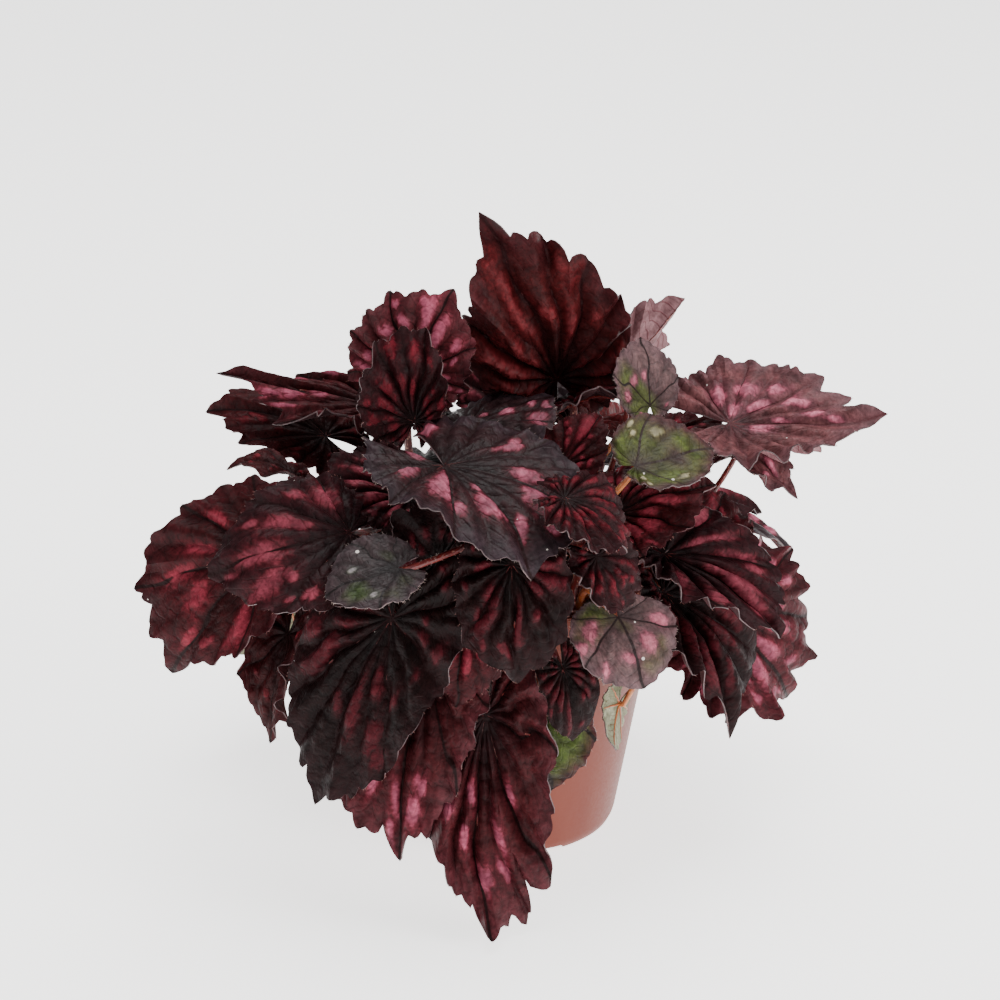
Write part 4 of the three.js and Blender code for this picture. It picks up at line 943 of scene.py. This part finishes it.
def underside_finish(name, ground, ground_pale, vein_shade):
    """The underside: dull and paler, with the veins showing as a redder net."""
    made, tree, surface = new_finish(name)
    chart = node(tree, "SeparateXYZ", {0: node(tree, "UVMap", {}, uv_map="blade").outputs[0]})
    vein, reach = chart.outputs[0], chart.outputs[1]
    flat = node(tree, "Attribute", {}, attribute_name="flat_mm").outputs["Vector"]
    coarse = node(tree, "TexNoise", {"Vector": flat, "Scale": 1 / UNDER_CLOUD_SIZE,
                                     "Detail": 2.0}).outputs[0]
    fine = node(tree, "TexNoise", {"Vector": flat, "Scale": 1 / UNDER_GRAIN_SIZE,
                                   "Detail": 3.0}).outputs[0]
    off_vein = node(tree, "Math", {0: vein, 1: 0.5}, operation="PINGPONG").outputs[0]
    slant = node(tree, "Math", {0: off_vein, 1: -SIDE_VEIN_SLANT}, operation="MULTIPLY").outputs[0]
    phase = node(tree, "Math", {0: reach, 1: SIDE_VEINS, 2: slant},
                 operation="MULTIPLY_ADD").outputs[0]
    bent = node(tree, "Math", {0: coarse, 1: 0.5, 2: phase}, operation="MULTIPLY_ADD").outputs[0]
    gap = node(tree, "Math", {0: bent, 1: 0.5}, operation="PINGPONG").outputs[0]
    side = node(tree, "MapRange", {"Value": gap, "From Min": 0.01, "From Max": 0.1,
                                   "To Min": 0.8, "To Max": 0.0}).outputs[0]
    tone = node(tree, "MapRange", {"Value": coarse, "From Min": 0.35, "From Max": 0.7}).outputs[0]
    shade = node(tree, "Mix", {0: tone, 6: linear(ground), 7: linear(ground_pale)},
                 data_type="RGBA").outputs[2]
    mottle = node(tree, "MapRange", {"Value": fine, "From Min": 0.3, "From Max": 0.75,
                                     "To Min": 0.8, "To Max": 1.25}).outputs[0]
    shade = node(tree, "Mix", {0: 1.0, 6: shade, 7: mottle}, data_type="RGBA",
                 blend_type="MULTIPLY").outputs[2]
    tree.links.new(node(tree, "Mix", {0: side, 6: shade, 7: linear(vein_shade)},
                        data_type="RGBA").outputs[2], surface.inputs["Base Color"])
    height = node(tree, "Math", {0: side, 1: 0.9, 2: fine}, operation="MULTIPLY_ADD").outputs[0]
    tree.links.new(node(tree, "Bump", {"Height": height, "Strength": 0.7,
                                       "Distance": UNDER_RELIEF * MM}).outputs[0],
                   surface.inputs["Normal"])
    surface.inputs["Roughness"].default_value = 0.6
    surface.inputs["Specular IOR Level"].default_value = 0.2
    return made


def stalk_finish(name, red, pale):
    """A stalk's skin: moist, with a soft gloss, redder and paler in patches, with pale flecks."""
    made, tree, surface = new_finish(name)
    where = node(tree, "TexCoord", {}).outputs["Object"]
    patch = node(tree, "TexNoise", {"Vector": where, "Scale": PATCHES_PER_METRE,
                                    "Detail": 3.0}).outputs[0]
    fleck = node(tree, "TexNoise", {"Vector": where, "Scale": FLECKS_PER_METRE,
                                    "Detail": 2.0}).outputs[0]
    tone = node(tree, "MapRange", {"Value": patch, "From Min": 0.35, "From Max": 0.7}).outputs[0]
    shade = node(tree, "Mix", {0: tone, 6: linear(red), 7: linear(pale)},
                 data_type="RGBA").outputs[2]
    flecks = node(tree, "MapRange", {"Value": fleck, "From Min": 0.62, "From Max": 0.7,
                                     "To Max": 0.5}).outputs[0]
    tree.links.new(node(tree, "Mix", {0: flecks, 6: shade, 7: linear("#d79a86")},
                        data_type="RGBA").outputs[2], surface.inputs["Base Color"])
    surface.inputs["Roughness"].default_value = 0.4
    surface.inputs["Subsurface Weight"].default_value = 0.15
    surface.inputs["Subsurface Scale"].default_value = 2 * MM
    return made


def plain_skin(name, dark, light, size, roughness):
    """A small part's skin in two close shades."""
    made, tree, surface = new_finish(name)
    where = node(tree, "TexCoord", {}).outputs["Object"]
    cloud = node(tree, "TexNoise", {"Vector": where, "Scale": 1 / (size * MM)}).outputs[0]
    tone = node(tree, "MapRange", {"Value": cloud, "From Min": 0.35, "From Max": 0.65}).outputs[0]
    tree.links.new(node(tree, "Mix", {0: tone, 6: linear(dark), 7: linear(light)},
                        data_type="RGBA").outputs[2], surface.inputs["Base Color"])
    surface.inputs["Roughness"].default_value = roughness
    return made


stalk_red = stalk_finish("fleshy_stalk_red", "#4a1014", "#7d2620")
stalk_orange = stalk_finish("fleshy_stalk_orange", "#8a3a22", "#c57a40")
hair_rusty = plain_skin("leaf_hair_rusty", "#6a3832", "#96665e", 3, 0.5)
hair_pale = plain_skin("leaf_hair_pale", "#86706a", "#ac9890", 3, 0.5)
rim_grey = plain_skin("margin_grey_pink", "#3c2c2e", "#5c4648", 4, 0.5)
rim_red = plain_skin("margin_red", "#30161a", "#50282c", 4, 0.5)
under_grey = underside_finish("underside_grey_mauve", "#2c171a", "#43272a", "#46171a")
under_maroon = underside_finish("underside_maroon", "#200a0b", "#361214", "#46171a")
under_pale = underside_finish("underside_pale_green", "#6a6d52", "#929278", "#75453d")
under_pink = underside_finish("underside_dusty_pink", "#6e4a4d", "#9a7074", "#6c3a3f")

# Upper finishes take ground, heart, edge, halo, flash and flash deep in turn. On the dark leaves
# the edge colour is a painted grey sheen, on the green ones their own red margin. The flash deep is
# also the painted shade at the blotches' rims.
black = blade_finish("leaf_black_with_red", "#210c0f", "#120708", "#2a1417", "#300e13",
                     "#702f3a", "#48171d")
night = blade_finish("leaf_black_with_dim_red", "#160707", "#0e0505", "#1e0b0d", "#220a0c",
                     "#48151c", "#2c0c10", velvet=0.0)
black_pink = blade_finish("leaf_black_with_pink", "#281719", "#150b0c", "#31252a", "#321317",
                          "#985263", "#662632", gloss=0.13, velvet=0.008)
streaked = blade_finish("leaf_black_with_streaks", "#220b0d", "#150708", "#2a1215", "#340f14",
                        "#58161f", "#3a0f15", ragged=0.8)
brick = blade_finish("leaf_maroon_with_crimson", "#3c1314", "#200d0e", "#3e181b", "#481214",
                     "#5e2023", "#4e1518", vein_shade="#2a0e10", vein_width=0.035, ragged=0.9)
wine = blade_finish("leaf_wine_with_red", "#2e0c0e", "#160708", "#3a1418", "#421117",
                    "#7a2935", "#561820")
rose = blade_finish("leaf_wine_with_rose", "#3e1619", "#1c0b0d", "#4c2227", "#521c24", "#96495c",
                    "#6e2b36")
maroon = blade_finish("leaf_maroon", "#300d0f", "#180809", "#3c1417", "#380f12", "#5a1920",
                      "#421117")
mauve = blade_finish("leaf_mauve_with_pink", "#6a3f41", "#40272a", "#604044", "#70414a",
                     "#ba6a7c", "#9a4e5e", vein_shade="#522c30", gloss=0.13)
mauve_green = blade_finish("leaf_mauve_and_olive", "#5c4444", "#3c2a2b", "#5c4447", "#684248",
                           "#a85e6c", "#8c4a58", stain="#4a4e28", stain_from=0.5, gloss=0.16,
                           speck_size=0.09, speck_share=0.3)
olive = blade_finish("leaf_olive", "#4a5226", "#382e26", "#44292a", "#443c24", "#948c70",
                     "#767050", stain="#402f2c", stain_from=0.48, vein_shade="#281a16",
                     gloss=0.16, speck_size=0.09, speck_share=0.3)
brown_green = blade_finish("leaf_brown_and_green", "#322829", "#1c1617", "#3a2d30", "#30302b",
                           "#767070", "#5a5850", stain="#36461f", stain_from=0.52,
                           vein_shade="#181212", gloss=0.16, speck_size=0.09, speck_share=0.3)
green = blade_finish("leaf_green_dark_veins", "#475422", "#2a3416", "#3c1818", "#3c4218",
                     "#5a662a", "#465218", stain="#30221a", stain_from=0.6, vein_shade="#1a0f0c",
                     vein_width=0.05, gloss=0.16)
pale = blade_finish("leaf_pale_pink", "#7a625e", "#5c3e3e", "#78544f", "#80605a", "#aa7078",
                    "#905c64", stain="#686046", stain_from=0.55, vein_shade="#4c2a2c", gloss=0.16)

# How a leaf's own blotches grow: the share of folds that have one, half a blotch's width in veins,
# and how far out it starts and about half its length as shares of the way to the margin.
LONG = (0.75, 0.19, 0.22, 0.28)
STREAKS = (0.95, 0.15, 0.24, 0.27)
ROUND = (0.6, 0.23, 0.4, 0.14)
FEW = (0.3, 0.16, 0.45, 0.09)


def looks(upper, under, rim, stalk, hair, slot, flashes):
    return {"upper": upper, "under": under, "rim": rim, "stalk": stalk, "hair": hair,
            "slot": slot, "flashes": flashes}


BLACK_RED = looks(black, under_grey, rim_grey, stalk_red, hair_rusty, "leaf_black", LONG)
NIGHT = looks(night, under_grey, rim_grey, stalk_red, hair_rusty, "leaf_black", LONG)
STREAKED = looks(streaked, under_grey, rim_grey, stalk_red, hair_rusty, "leaf_black", STREAKS)
BLACK_PINK = looks(black_pink, under_grey, rim_grey, stalk_red, hair_pale, "leaf_black", ROUND)
BRICK = looks(brick, under_grey, rim_grey, stalk_red, hair_rusty, "leaf_red", STREAKS)
WINE = looks(wine, under_maroon, rim_red, stalk_red, hair_rusty, "leaf_red", LONG)
ROSE = looks(rose, under_grey, rim_grey, stalk_red, hair_rusty, "leaf_red", STREAKS)
MAROON = looks(maroon, under_maroon, rim_red, stalk_red, hair_rusty, "leaf_maroon", FEW)
MAUVE = looks(mauve, under_pink, rim_grey, stalk_red, hair_pale, "leaf_mauve", ROUND)
MAUVE_GREEN = looks(mauve_green, under_pale, rim_grey, stalk_orange, hair_pale, "leaf_mauve", FEW)
OLIVE = looks(olive, under_pale, rim_grey, stalk_orange, hair_pale, "leaf_olive", FEW)
BROWN_GREEN = looks(brown_green, under_pale, rim_grey, stalk_red, hair_pale, "leaf_olive", FEW)
GREEN = looks(green, under_pale, rim_red, stalk_orange, hair_pale, "leaf_olive", FEW)
PALE = looks(pale, under_pale, rim_grey, stalk_orange, hair_pale, "leaf_pale", FEW)


# Top leaves: the fan-shaped leaf that stands above the plant, with younger leaves round it and
# the dark ones that close the middle.
leaf("top_fan", PLEATED, BRICK, seed=11,
     root=(11, 0), bow=(0, 4, 7), joint=(17, 0, 176), tip=(-10, -8, 240),
     faces=(0.1, -0.95, 0.05), width=0.74, lobe=0.35, drip=0.2, skew=-0.06, sway=0.1, bend=0.8,
     cup=-0.1, pleat=0.07)
leaf("top_back_pale", SMALL, MAUVE, seed=12,
     root=(28, 15), bow=(1, -13, 11), joint=(41, 22, 171), tip=(63, 25, 199),
     faces=(-0.05, 0.65, 0.8), width=0.85, lobe=0.4, sway=-0.1, bend=-0.15, cup=1.55)
leaf("top_old", OLD, MAUVE_GREEN, seed=13,
     root=(24, -10), bow=(-5, 3, 0), joint=(50, -21, 174), tip=(47, -9, 196),
     faces=(0.4, -0.8, -0.15), width=0.95, lobe=0.2, skew=0.1, sway=-0.05, cup=0.15)
leaf("upper_left", RUFFLED, ROSE, seed=18,
     root=(-25, -23), bow=(-10, 5, 2), joint=(-35, -24, 187), tip=(-21, -18, 215),
     faces=(-0.05, -1.15, 0.15), width=1, lobe=0.6, skew=0.15, bend=1, cup=0, ruffle=0.07)
leaf("upper_left_front", RUFFLED, STREAKED, seed=19,
     root=(-11, -21), bow=(6, -17, 29), joint=(-34, -40, 175), tip=(-30, -33, 206),
     faces=(0, -0.75, 0.55), width=0.8, lobe=0.35, skew=0.4, bend=0.9, cup=0.35, ruffle=0.08)
leaf("upper_inner", SMALL, BLACK_RED, seed=45,
     root=(-2, 8), bow=(-2, 1, 2), joint=(-2, 9, 164), tip=(-18, 15, 182), faces=(0, -0.8, 0.6),
     bend=0.55, cup=0.3)
leaf("centre_behind", BROAD, BLACK_PINK, seed=42,
     root=(-4, -11), joint=(-15, -32, 171), tip=(15, -15, 176), faces=(0.05, 0.1, 1.1), width=1,
     lobe=0.6, skew=-0.15, bend=-0.05, cup=-0.45, ruffle=0.07,
     flashes=[(0.35, 0.25, 0.25, 0.07), (-0.45, 0.45, 0.31, 0.11), (-0.95, 0.8, 0.22, 0.13),
              (-0.45, 0.9, 0.19, 0.06), (-0.25, 0.75, 0.19, 0.06)])
leaf("top_low_right", RUFFLED, NIGHT, seed=43,
     root=(17, -9), joint=(22, -11, 171), tip=(49, -14, 172), faces=(0, 0.2, 1), skew=-0.05,
     bend=0.95, cup=0.1, frill=0.2)
leaf("inner_right", BROAD, WINE, seed=51,
     root=(15, -24), joint=(18, -40, 157), tip=(32, -30, 174), faces=(0, -0.7, 0.7), width=0.8)


# Right leaves: a long mauve leaf reaching out at the top, an old olive one beside it, two pleated
# fans and a spiky leaf that hang at the side, and wine-red ones between and behind them.
leaf("right_long", RUFFLED, MAUVE, seed=15,
     root=(19, -21), bow=(-3, -15, 11), joint=(79, -21, 167), tip=(133, -25, 170),
     faces=(0, -0.43, 0.9), lobe=0.5, drip=0.2, skew=0.05, sway=0.15, bend=-0.1, cup=0.8,
     pleat=0.04, ruffle=0.09, teeth=0.14,
     flashes=[(2.75, 0.5, 0.32, 0.17), (1.15, 0.35, 0.25, 0.13), (0.75, 0.65, 0.21, 0.1),
              (1.25, 0.65, 0.15, 0.09), (0.25, 0.65, 0.1, 0.1), (0.1, 0.4, 0.1, 0.07),
              (1.85, 0.55, 0.33, 0.11), (2.05, 0.2, 0.45, 0.14), (-0.4, 0.25, 0.31, 0.09),
              (0.1, 0.7, 0.08, 0.06)])
leaf("right_folded", SMALL, MAUVE, seed=16,
     root=(44, 1), bow=(-2, -15, -10), joint=(83, -19, 157), tip=(102, -26, 141),
     faces=(0.4, -0.6, 0.55), width=0.8, lobe=0.4, drip=0.2, bend=0.5, cup=1.4, ruffle=0.14,
     teeth=0.16)
leaf("right_red", BROAD, WINE, seed=17,
     root=(35, 8), bow=(-6, 6, 9), joint=(56, -6, 155), tip=(86, -10, 152),
     faces=(0.1, -0.5, 0.9), width=0.7, skew=0.05, bend=0.6, cup=-0.25, ruffle=0.08)
leaf("green_oval", OLD, OLIVE, seed=14,
     root=(4, -30), bow=(-4, -3, -1), joint=(43, -63, 167), tip=(71, -48, 167),
     faces=(0.1, -0.5, 0.95), width=1, lobe=0.15, skew=0.15, sway=0.15, bend=0.3, cup=0.65)
leaf("right_backlit", RUFFLED, WINE, seed=41,
     root=(-2, -17), bow=(0, -1, -1), joint=(37, -53, 145), tip=(71, -48, 153),
     faces=(0.05, -0.55, 0.8), bend=0.75, cup=-0.25, ruffle=0.07)
leaf("right_behind", BROAD, WINE, seed=40,
     root=(31, -8), bow=(-6, -1, 32), joint=(66, -40, 127), tip=(78, -22, 140),
     faces=(0.6, 0.4, 0.8), width=1, skew=-0.1, bend=1.05, cup=0.1)
leaf("right_fan", PLEATED, BLACK_RED, seed=38,
     root=(13, -16), bow=(5, 3, 2), joint=(54, -59, 132), tip=(95, -66, 104),
     faces=(0.3, -0.6, 0.65), width=0.6, lobe=0.35, skew=0.25, sway=-0.1, bend=0.65, cup=1.2,
     pleat=0.07,
     flashes=[(2.4, 0.75, 0.25, 0.15), (2.1, 0.8, 0.15, 0.2), (1.55, 0.55, 0.14, 0.4),
              (1.1, 0.65, 0.16, 0.23), (0.85, 0.75, 0.14, 0.14), (0.3, 0.55, 0.33, 0.29),
              (0.1, 0.7, 0.16, 0.17), (-1.45, 0.65, 0.2, 0.28), (-0.85, 0.8, 0.16, 0.19),
              (-0.05, 0.8, 0.11, 0.11)])
leaf("right_lower", PLEATED, NIGHT, seed=38,
     root=(13, -29), bow=(1, 4, 4), joint=(55, -45, 111), tip=(80, -56, 62),
     faces=(0.6, -0.6, 0.55), width=0.72, lobe=0.5, drip=0.22, skew=0.25, sway=-0.1, bend=0.65,
     cup=0.65, teeth=0.14, frill=0.2)
leaf("right_spotted", OLD, MAUVE_GREEN, seed=34,
     root=(24, -40), bow=(0, 2, 11), joint=(37, -84, 119), tip=(46, -95, 97),
     faces=(0.45, -0.7, 0.55), width=1.35, lobe=0.35, skew=-0.15, bend=0.8, cup=0.35,
     flashes=[(1.15, 0.7, 0.25, 0.16), (-1.5, 0.6, 0.38, 0.17), (0.45, 0.55, 0.24, 0.17),
              (-0.15, 0.6, 0.22, 0.08), (-0.65, 0.85, 0.11, 0.1), (-1.25, 0.9, 0.13, 0.13)])
leaf("right_spiky", RUFFLED, ROSE, seed=39,
     root=(37, -17), bow=(0, 0, 17), joint=(80, -28, 96), tip=(107, -21, 58),
     faces=(0.45, -0.75, 0.4), width=1.1, lobe=0.55, skew=0.05, sway=0.1, bend=0.3, cup=-0.3,
     teeth=0.22)
leaf("right_under_pale", OLD, PALE, seed=33,
     root=(18, -29), bow=(16, -5, 22), joint=(39, -58, 73), tip=(37, -72, 62),
     faces=(-0.45, 0.9, 0.45), width=1.1, skew=-0.1, bend=0.45, cup=0.4)
leaf("side_right", BROAD, BLACK_RED, seed=73,
     root=(22, 28), joint=(45, 11, 128), tip=(93, 23, 112), faces=(0.5, 0.1, 0.85))
leaf("side_right_low", RUFFLED, ROSE, seed=71,
     root=(40, 15), bow=(0, 0, 11), joint=(71, 6, 108), tip=(95, 10, 71),
     faces=(0.65, 0.05, 0.35), bend=0.85, cup=-0.25, frill=0.2)


# Left leaves: two long ones at the top, the big blotched pair below them, and smaller ones under
# those, one of them rolled up.
leaf("left_ruffled", RUFFLED, ROSE, seed=20,
     root=(-25, 26), bow=(-1, 4, -3), joint=(-47, 14, 161), tip=(-105, 17, 173),
     faces=(0.3, -0.5, 0.95), width=0.5, lobe=0.2, drip=0.2, skew=0.05, sway=0.05, bend=-0.3,
     cup=-0.5, ruffle=0.16, teeth=0.2,
     flashes=[(0.3, 0.9, 0.13, 0.1), (0.3, 0.75, 0.2, 0.12), (0.2, 0.5, 0.12, 0.13),
              (-1.2, 0.85, 0.08, 0.16), (0.65, 0.9, 0.08, 0.09), (-0.7, 0.85, 0.08, 0.13)])
leaf("left_maroon", BROAD, MAROON, seed=21,
     root=(-28, 16), bow=(3, 8, 4), joint=(-70, 29, 143), tip=(-114, 36, 151),
     faces=(-0.1, -0.6, 0.95), width=0.6, lobe=0.5, skew=-0.05, bend=0.9, cup=-0.35, teeth=0.12)
leaf("left_small_ruffled", SMALL, BLACK_RED, seed=46,
     root=(-15, 4), bow=(-2, -11, -2), joint=(-41, -3, 165), tip=(-55, 5, 176),
     faces=(-0.2, -0.6, 0.7), bend=0.65, cup=0.15, ruffle=0.16)
leaf("left_tips", SMALL, MAROON, seed=22,
     root=(-42, -14), bow=(3, -8, -2), joint=(-79, -23, 148), tip=(-102, -24, 152),
     faces=(0, -0.05, 1.05), width=0.6, skew=-0.05, sway=0.05, bend=0.95, cup=0.3, frill=0.2)
leaf("left_inner", RUFFLED, BLACK_RED, seed=23,
     root=(-19, -29), joint=(-35, -58, 153), tip=(-69, -52, 158), faces=(-0.1, -0.55, 0.8),
     width=0.75, lobe=0.35, sway=-0.05, bend=0.7, cup=-0.15, pleat=0.08)
leaf("left_pink", BROAD, BLACK_RED, seed=24,
     root=(-8, -31), bow=(-3, 18, 6), joint=(-55, -92, 154), tip=(-100, -105, 144),
     faces=(-0.25, -0.8, 0.55), width=0.75, lobe=0.35, skew=0.05, sway=-0.1, bend=1.55, cup=-0.55,
     ruffle=0.04,
     flashes=[(-1.3, 0.75, 0.17, 0.1), (-1.8, 0.6, 0.44, 0.23), (-0.6, 0.55, 0.2, 0.24),
              (-0.6, 0.85, 0.09, 0.08), (0, 0.65, 0.36, 0.18), (0.55, 0.8, 0.2, 0.24),
              (0.15, 0.9, 0.08, 0.06), (0.75, 0.65, 0.12, 0.06), (1.15, 0.8, 0.11, 0.1),
              (0.95, 0.85, 0.08, 0.06)])
leaf("left_outer", BROAD, WINE, seed=25,
     root=(-35, -26), bow=(6, 10, 9), joint=(-87, -58, 131), tip=(-122, -58, 87),
     faces=(-0.3, -0.85, 0.45), width=0.8, lobe=0.4, skew=-0.25, bend=0.6, cup=0.25, teeth=0.1,
     flashes=[(-2.15, 0.7, 0.15, 0.15), (-1.45, 0.55, 0.15, 0.16), (-1, 0.65, 0.19, 0.17),
              (-0.45, 0.55, 0.28, 0.14), (0.8, 0.7, 0.22, 0.25), (-0.1, 0.7, 0.1, 0.11),
              (0.3, 0.8, 0.12, 0.06)])
leaf("left_pale_under", OLD, PALE, seed=47,
     root=(-38, -22), bow=(3, -8, 15), joint=(-81, -32, 103), tip=(-102, -33, 81),
     faces=(-0.1, 0.95, 0.35))
leaf("left_rolled", SMALL, MAROON, seed=48,
     root=(-30, -24), bow=(1, -1, 8), joint=(-79, -63, 103), tip=(-84, -68, 65),
     faces=(-0.65, -0.7, 0.2), width=0.6, bend=0.65, cup=3)
leaf("inner_left", RUFFLED, NIGHT, seed=52,
     root=(-13, -29), joint=(-27, -55, 130), tip=(-43, -63, 126), faces=(-0.2, -0.75, 0.6),
     width=0.75)
leaf("side_left", RUFFLED, BLACK_RED, seed=74,
     root=(-26, 1), bow=(-1, -1, 0), joint=(-52, 3, 123), tip=(-98, 7, 109),
     faces=(-0.55, 0.1, 0.85))
leaf("side_left_low", BROAD, WINE, seed=72,
     root=(-32, 5), bow=(-1, -1, 8), joint=(-79, 11, 108), tip=(-108, 13, 72),
     faces=(-0.9, -0.35, 0.2), width=0.8, bend=0.8, cup=0)


# Front leaves: the greyish heart that lies over the middle, and the long ones that hang over
# the pot's rim.
leaf("centre_heart", BROAD, BLACK_PINK, seed=26,
     root=(-1, -27), bow=(2, -3, 2), joint=(-23, -78, 173), tip=(7, -112, 147),
     faces=(0.25, -0.3, 0.9), width=0.95, lobe=0.6, skew=0.15, sway=-0.3, bend=0.65, cup=0,
     flashes=[(-4, 0.35, 0.44, 0.14), (-2.3, 0.55, 0.22, 0.18), (-1.3, 0.45, 0.4, 0.32),
              (-0.9, 0.65, 0.14, 0.1), (-0.3, 0.55, 0.26, 0.14), (0.1, 0.7, 0.13, 0.09),
              (0.75, 0.65, 0.34, 0.14), (0.75, 0.8, 0.15, 0.06), (1.25, 0.6, 0.23, 0.15),
              (1.2, 0.75, 0.09, 0.06), (2.2, 0.65, 0.12, 0.2), (3.85, 0.8, 0.2, 0.16),
              (-0.25, 0.35, 0.13, 0.06), (0.5, 0.85, 0.1, 0.06)])
leaf("centre_right", RUFFLED, STREAKED, seed=36,
     root=(16, -42), bow=(22, 1, 26), joint=(18, -96, 168), tip=(37, -97, 149),
     faces=(0, -0.3, 0.95), width=0.95, lobe=0.4, skew=0.1, bend=1.1, cup=-0.35)
leaf("young_ruffled", SMALL, STREAKED, seed=35,
     root=(9, -41), bow=(-5, -4, -2), joint=(29, -91, 145), tip=(41, -91, 126),
     faces=(0.1, -0.65, 0.75), bend=0.55, ruffle=0.16)
leaf("centre_left_ruffled", SMALL, NIGHT, seed=44,
     root=(-15, -34), bow=(9, 0, 0), joint=(-25, -77, 138), tip=(-40, -82, 157),
     faces=(-0.2, -0.7, 0.65), width=1.15, lobe=0.5, sway=-0.05, cup=0.15, ruffle=0.14)
leaf("small_olive", OLD, BROWN_GREEN, seed=27,
     root=(-8, -37), bow=(31, 2, 26), joint=(-38, -113, 150), tip=(-62, -119, 142),
     faces=(0, -0.5, 0.85), width=0.95, lobe=0.35, skew=-0.05, cup=0.25,
     flashes=[(-0.3, 0.65, 0.08, 0.06), (0.8, 0.7, 0.08, 0.08)])
leaf("front_centre", RUFFLED, NIGHT, seed=49,
     root=(0, -46), bow=(1, 0, 0), joint=(0, -100, 146), tip=(2, -106, 107),
     faces=(0, -0.85, 0.55), width=0.8, ruffle=0.08, frill=0.2)
leaf("front_centre_left", BROAD, WINE, seed=50,
     root=(-4, -41), bow=(2, -2, 1), joint=(-14, -90, 129), tip=(-19, -98, 92),
     faces=(-0.15, -0.9, 0.3), width=0.7, sway=-0.05)
leaf("front_left_dark", BROAD, NIGHT, seed=28,
     root=(-37, -17), bow=(-18, 0, 13), joint=(-41, -89, 121), tip=(-68, -93, 52),
     faces=(-0.5, -0.75, 0.15), width=0.6, lobe=0.55, skew=0.05, sway=0.1, bend=0.3, cup=0,
     ruffle=0.03)
leaf("front_left_pink", RUFFLED, ROSE, seed=29,
     root=(-12, -41), bow=(-1, 1, 16), joint=(-28, -86, 100), tip=(-40, -106, 39),
     faces=(-0.3, -0.85, 0.35), width=0.6, lobe=0.5, drip=0.08, skew=-0.15, sway=0.15, bend=0.15,
     cup=-0.35, pleat=0.04, ruffle=0.07,
     flashes=[(-0.1, 0.7, 0.1, 0.11), (-0.55, 0.7, 0.11, 0.1), (0.25, 0.85, 0.14, 0.12),
              (-0.15, 0.9, 0.08, 0.1), (0.4, 0.7, 0.16, 0.07)])
leaf("front_right_dark", BROAD, NIGHT, seed=32,
     root=(1, -39), bow=(0, -2, 16), joint=(18, -83, 99), tip=(22, -84, 71),
     faces=(0.35, -0.7, 0.35), width=0.65, lobe=0.4, sway=-0.05, cup=-0.25, frill=0.2)
leaf("front_green", OLD, GREEN, seed=31,
     root=(17, -34), bow=(3, -9, 28), joint=(8, -77, 82), tip=(14, -73, 46),
     faces=(-0.05, -1.05, 0.1), width=1, lobe=0.4, skew=-0.1, bend=0.55, cup=0.35, teeth=0.06)
leaf("front_hanging", RUFFLED, ROSE, seed=30,
     root=(-18, -38), bow=(-10, -12, 30), joint=(-9, -85, 82), tip=(-7, -102, 5),
     faces=(-0.05, -1, 0.1), width=0.46, lobe=0.3, drip=0.07, skew=0.25, sway=0.2, bend=-0.25,
     cup=0.55, pleat=0.05, ruffle=0.09,
     flashes=[(-0.85, 0.65, 0.18, 0.12), (-0.25, 0.65, 0.12, 0.1), (0.6, 0.6, 0.11, 0.12),
              (0.1, 0.75, 0.15, 0.08), (1.1, 0.5, 0.11, 0.09), (-0.3, 0.4, 0.18, 0.08),
              (0.45, 0.75, 0.14, 0.06)])


# Back leaves: they fill the plant's far side, and the lower ones hang over the rim.
leaf("back_upper", RUFFLED, BLACK_PINK, seed=67,
     root=(-11, 9), bow=(-6, -10, 13), joint=(0, 34, 162), tip=(3, 84, 144), faces=(0, 0.4, 0.85),
     bend=0.7)
leaf("back_upper_left", BROAD, WINE, seed=68,
     root=(-11, 15), bow=(-6, -5, 0), joint=(-19, 32, 148), tip=(-55, 66, 134),
     faces=(0, 0.35, 0.95), bend=0.65, cup=-0.2)
leaf("back_upper_right", PLEATED, BRICK, seed=66,
     root=(19, 24), joint=(23, 27, 149), tip=(56, 66, 132), faces=(0.3, 0.2, 0.95))
leaf("back_left", BROAD, BLACK_RED, seed=64,
     root=(-16, 26), bow=(-3, -3, 4), joint=(-34, 61, 121), tip=(-66, 106, 96),
     faces=(-0.2, 0.6, 1), bend=0.65)
leaf("back_right", RUFFLED, BLACK_RED, seed=62,
     root=(14, 25), bow=(0, 0, 1), joint=(36, 64, 120), tip=(63, 106, 96),
     faces=(0.05, 0.45, 0.9), cup=0, frill=0.2)
leaf("back_right_low", BROAD, BLACK_PINK, seed=61,
     root=(35, 13), bow=(0, 0, 8), joint=(64, 34, 118), tip=(108, 57, 82), faces=(0.55, 0.3, 0.8),
     frill=0.2)
leaf("back_middle", BROAD, WINE, seed=63,
     root=(26, 41), bow=(-10, -5, 16), joint=(1, 87, 99), tip=(-1, 127, 42),
     faces=(0.05, 0.95, 0.6), bend=0.55, cup=-0.25, frill=0.2)
leaf("back_left_low", RUFFLED, MAUVE, seed=65,
     root=(-31, 25), bow=(-3, 3, 13), joint=(-83, 56, 99), tip=(-118, 66, 54),
     faces=(-0.65, 0.55, 0.65), bend=0.2, cup=-0.25)
leaf("back_hanging_left", PLEATED, NIGHT, seed=70,
     root=(5, 39), bow=(-10, 2, 24), joint=(-60, 49, 92), tip=(-63, 62, 23),
     faces=(-0.6, 0.75, 0.2), bend=0.3)
leaf("back_hanging_right", BROAD, ROSE, seed=69,
     root=(-2, 20), bow=(6, 16, 29), joint=(44, 69, 79), tip=(48, 76, 19), faces=(0.75, 0.7, 0.2),
     width=0.9, bend=0.25, cup=0.15)

bpy.data.objects.remove(hair_shape)
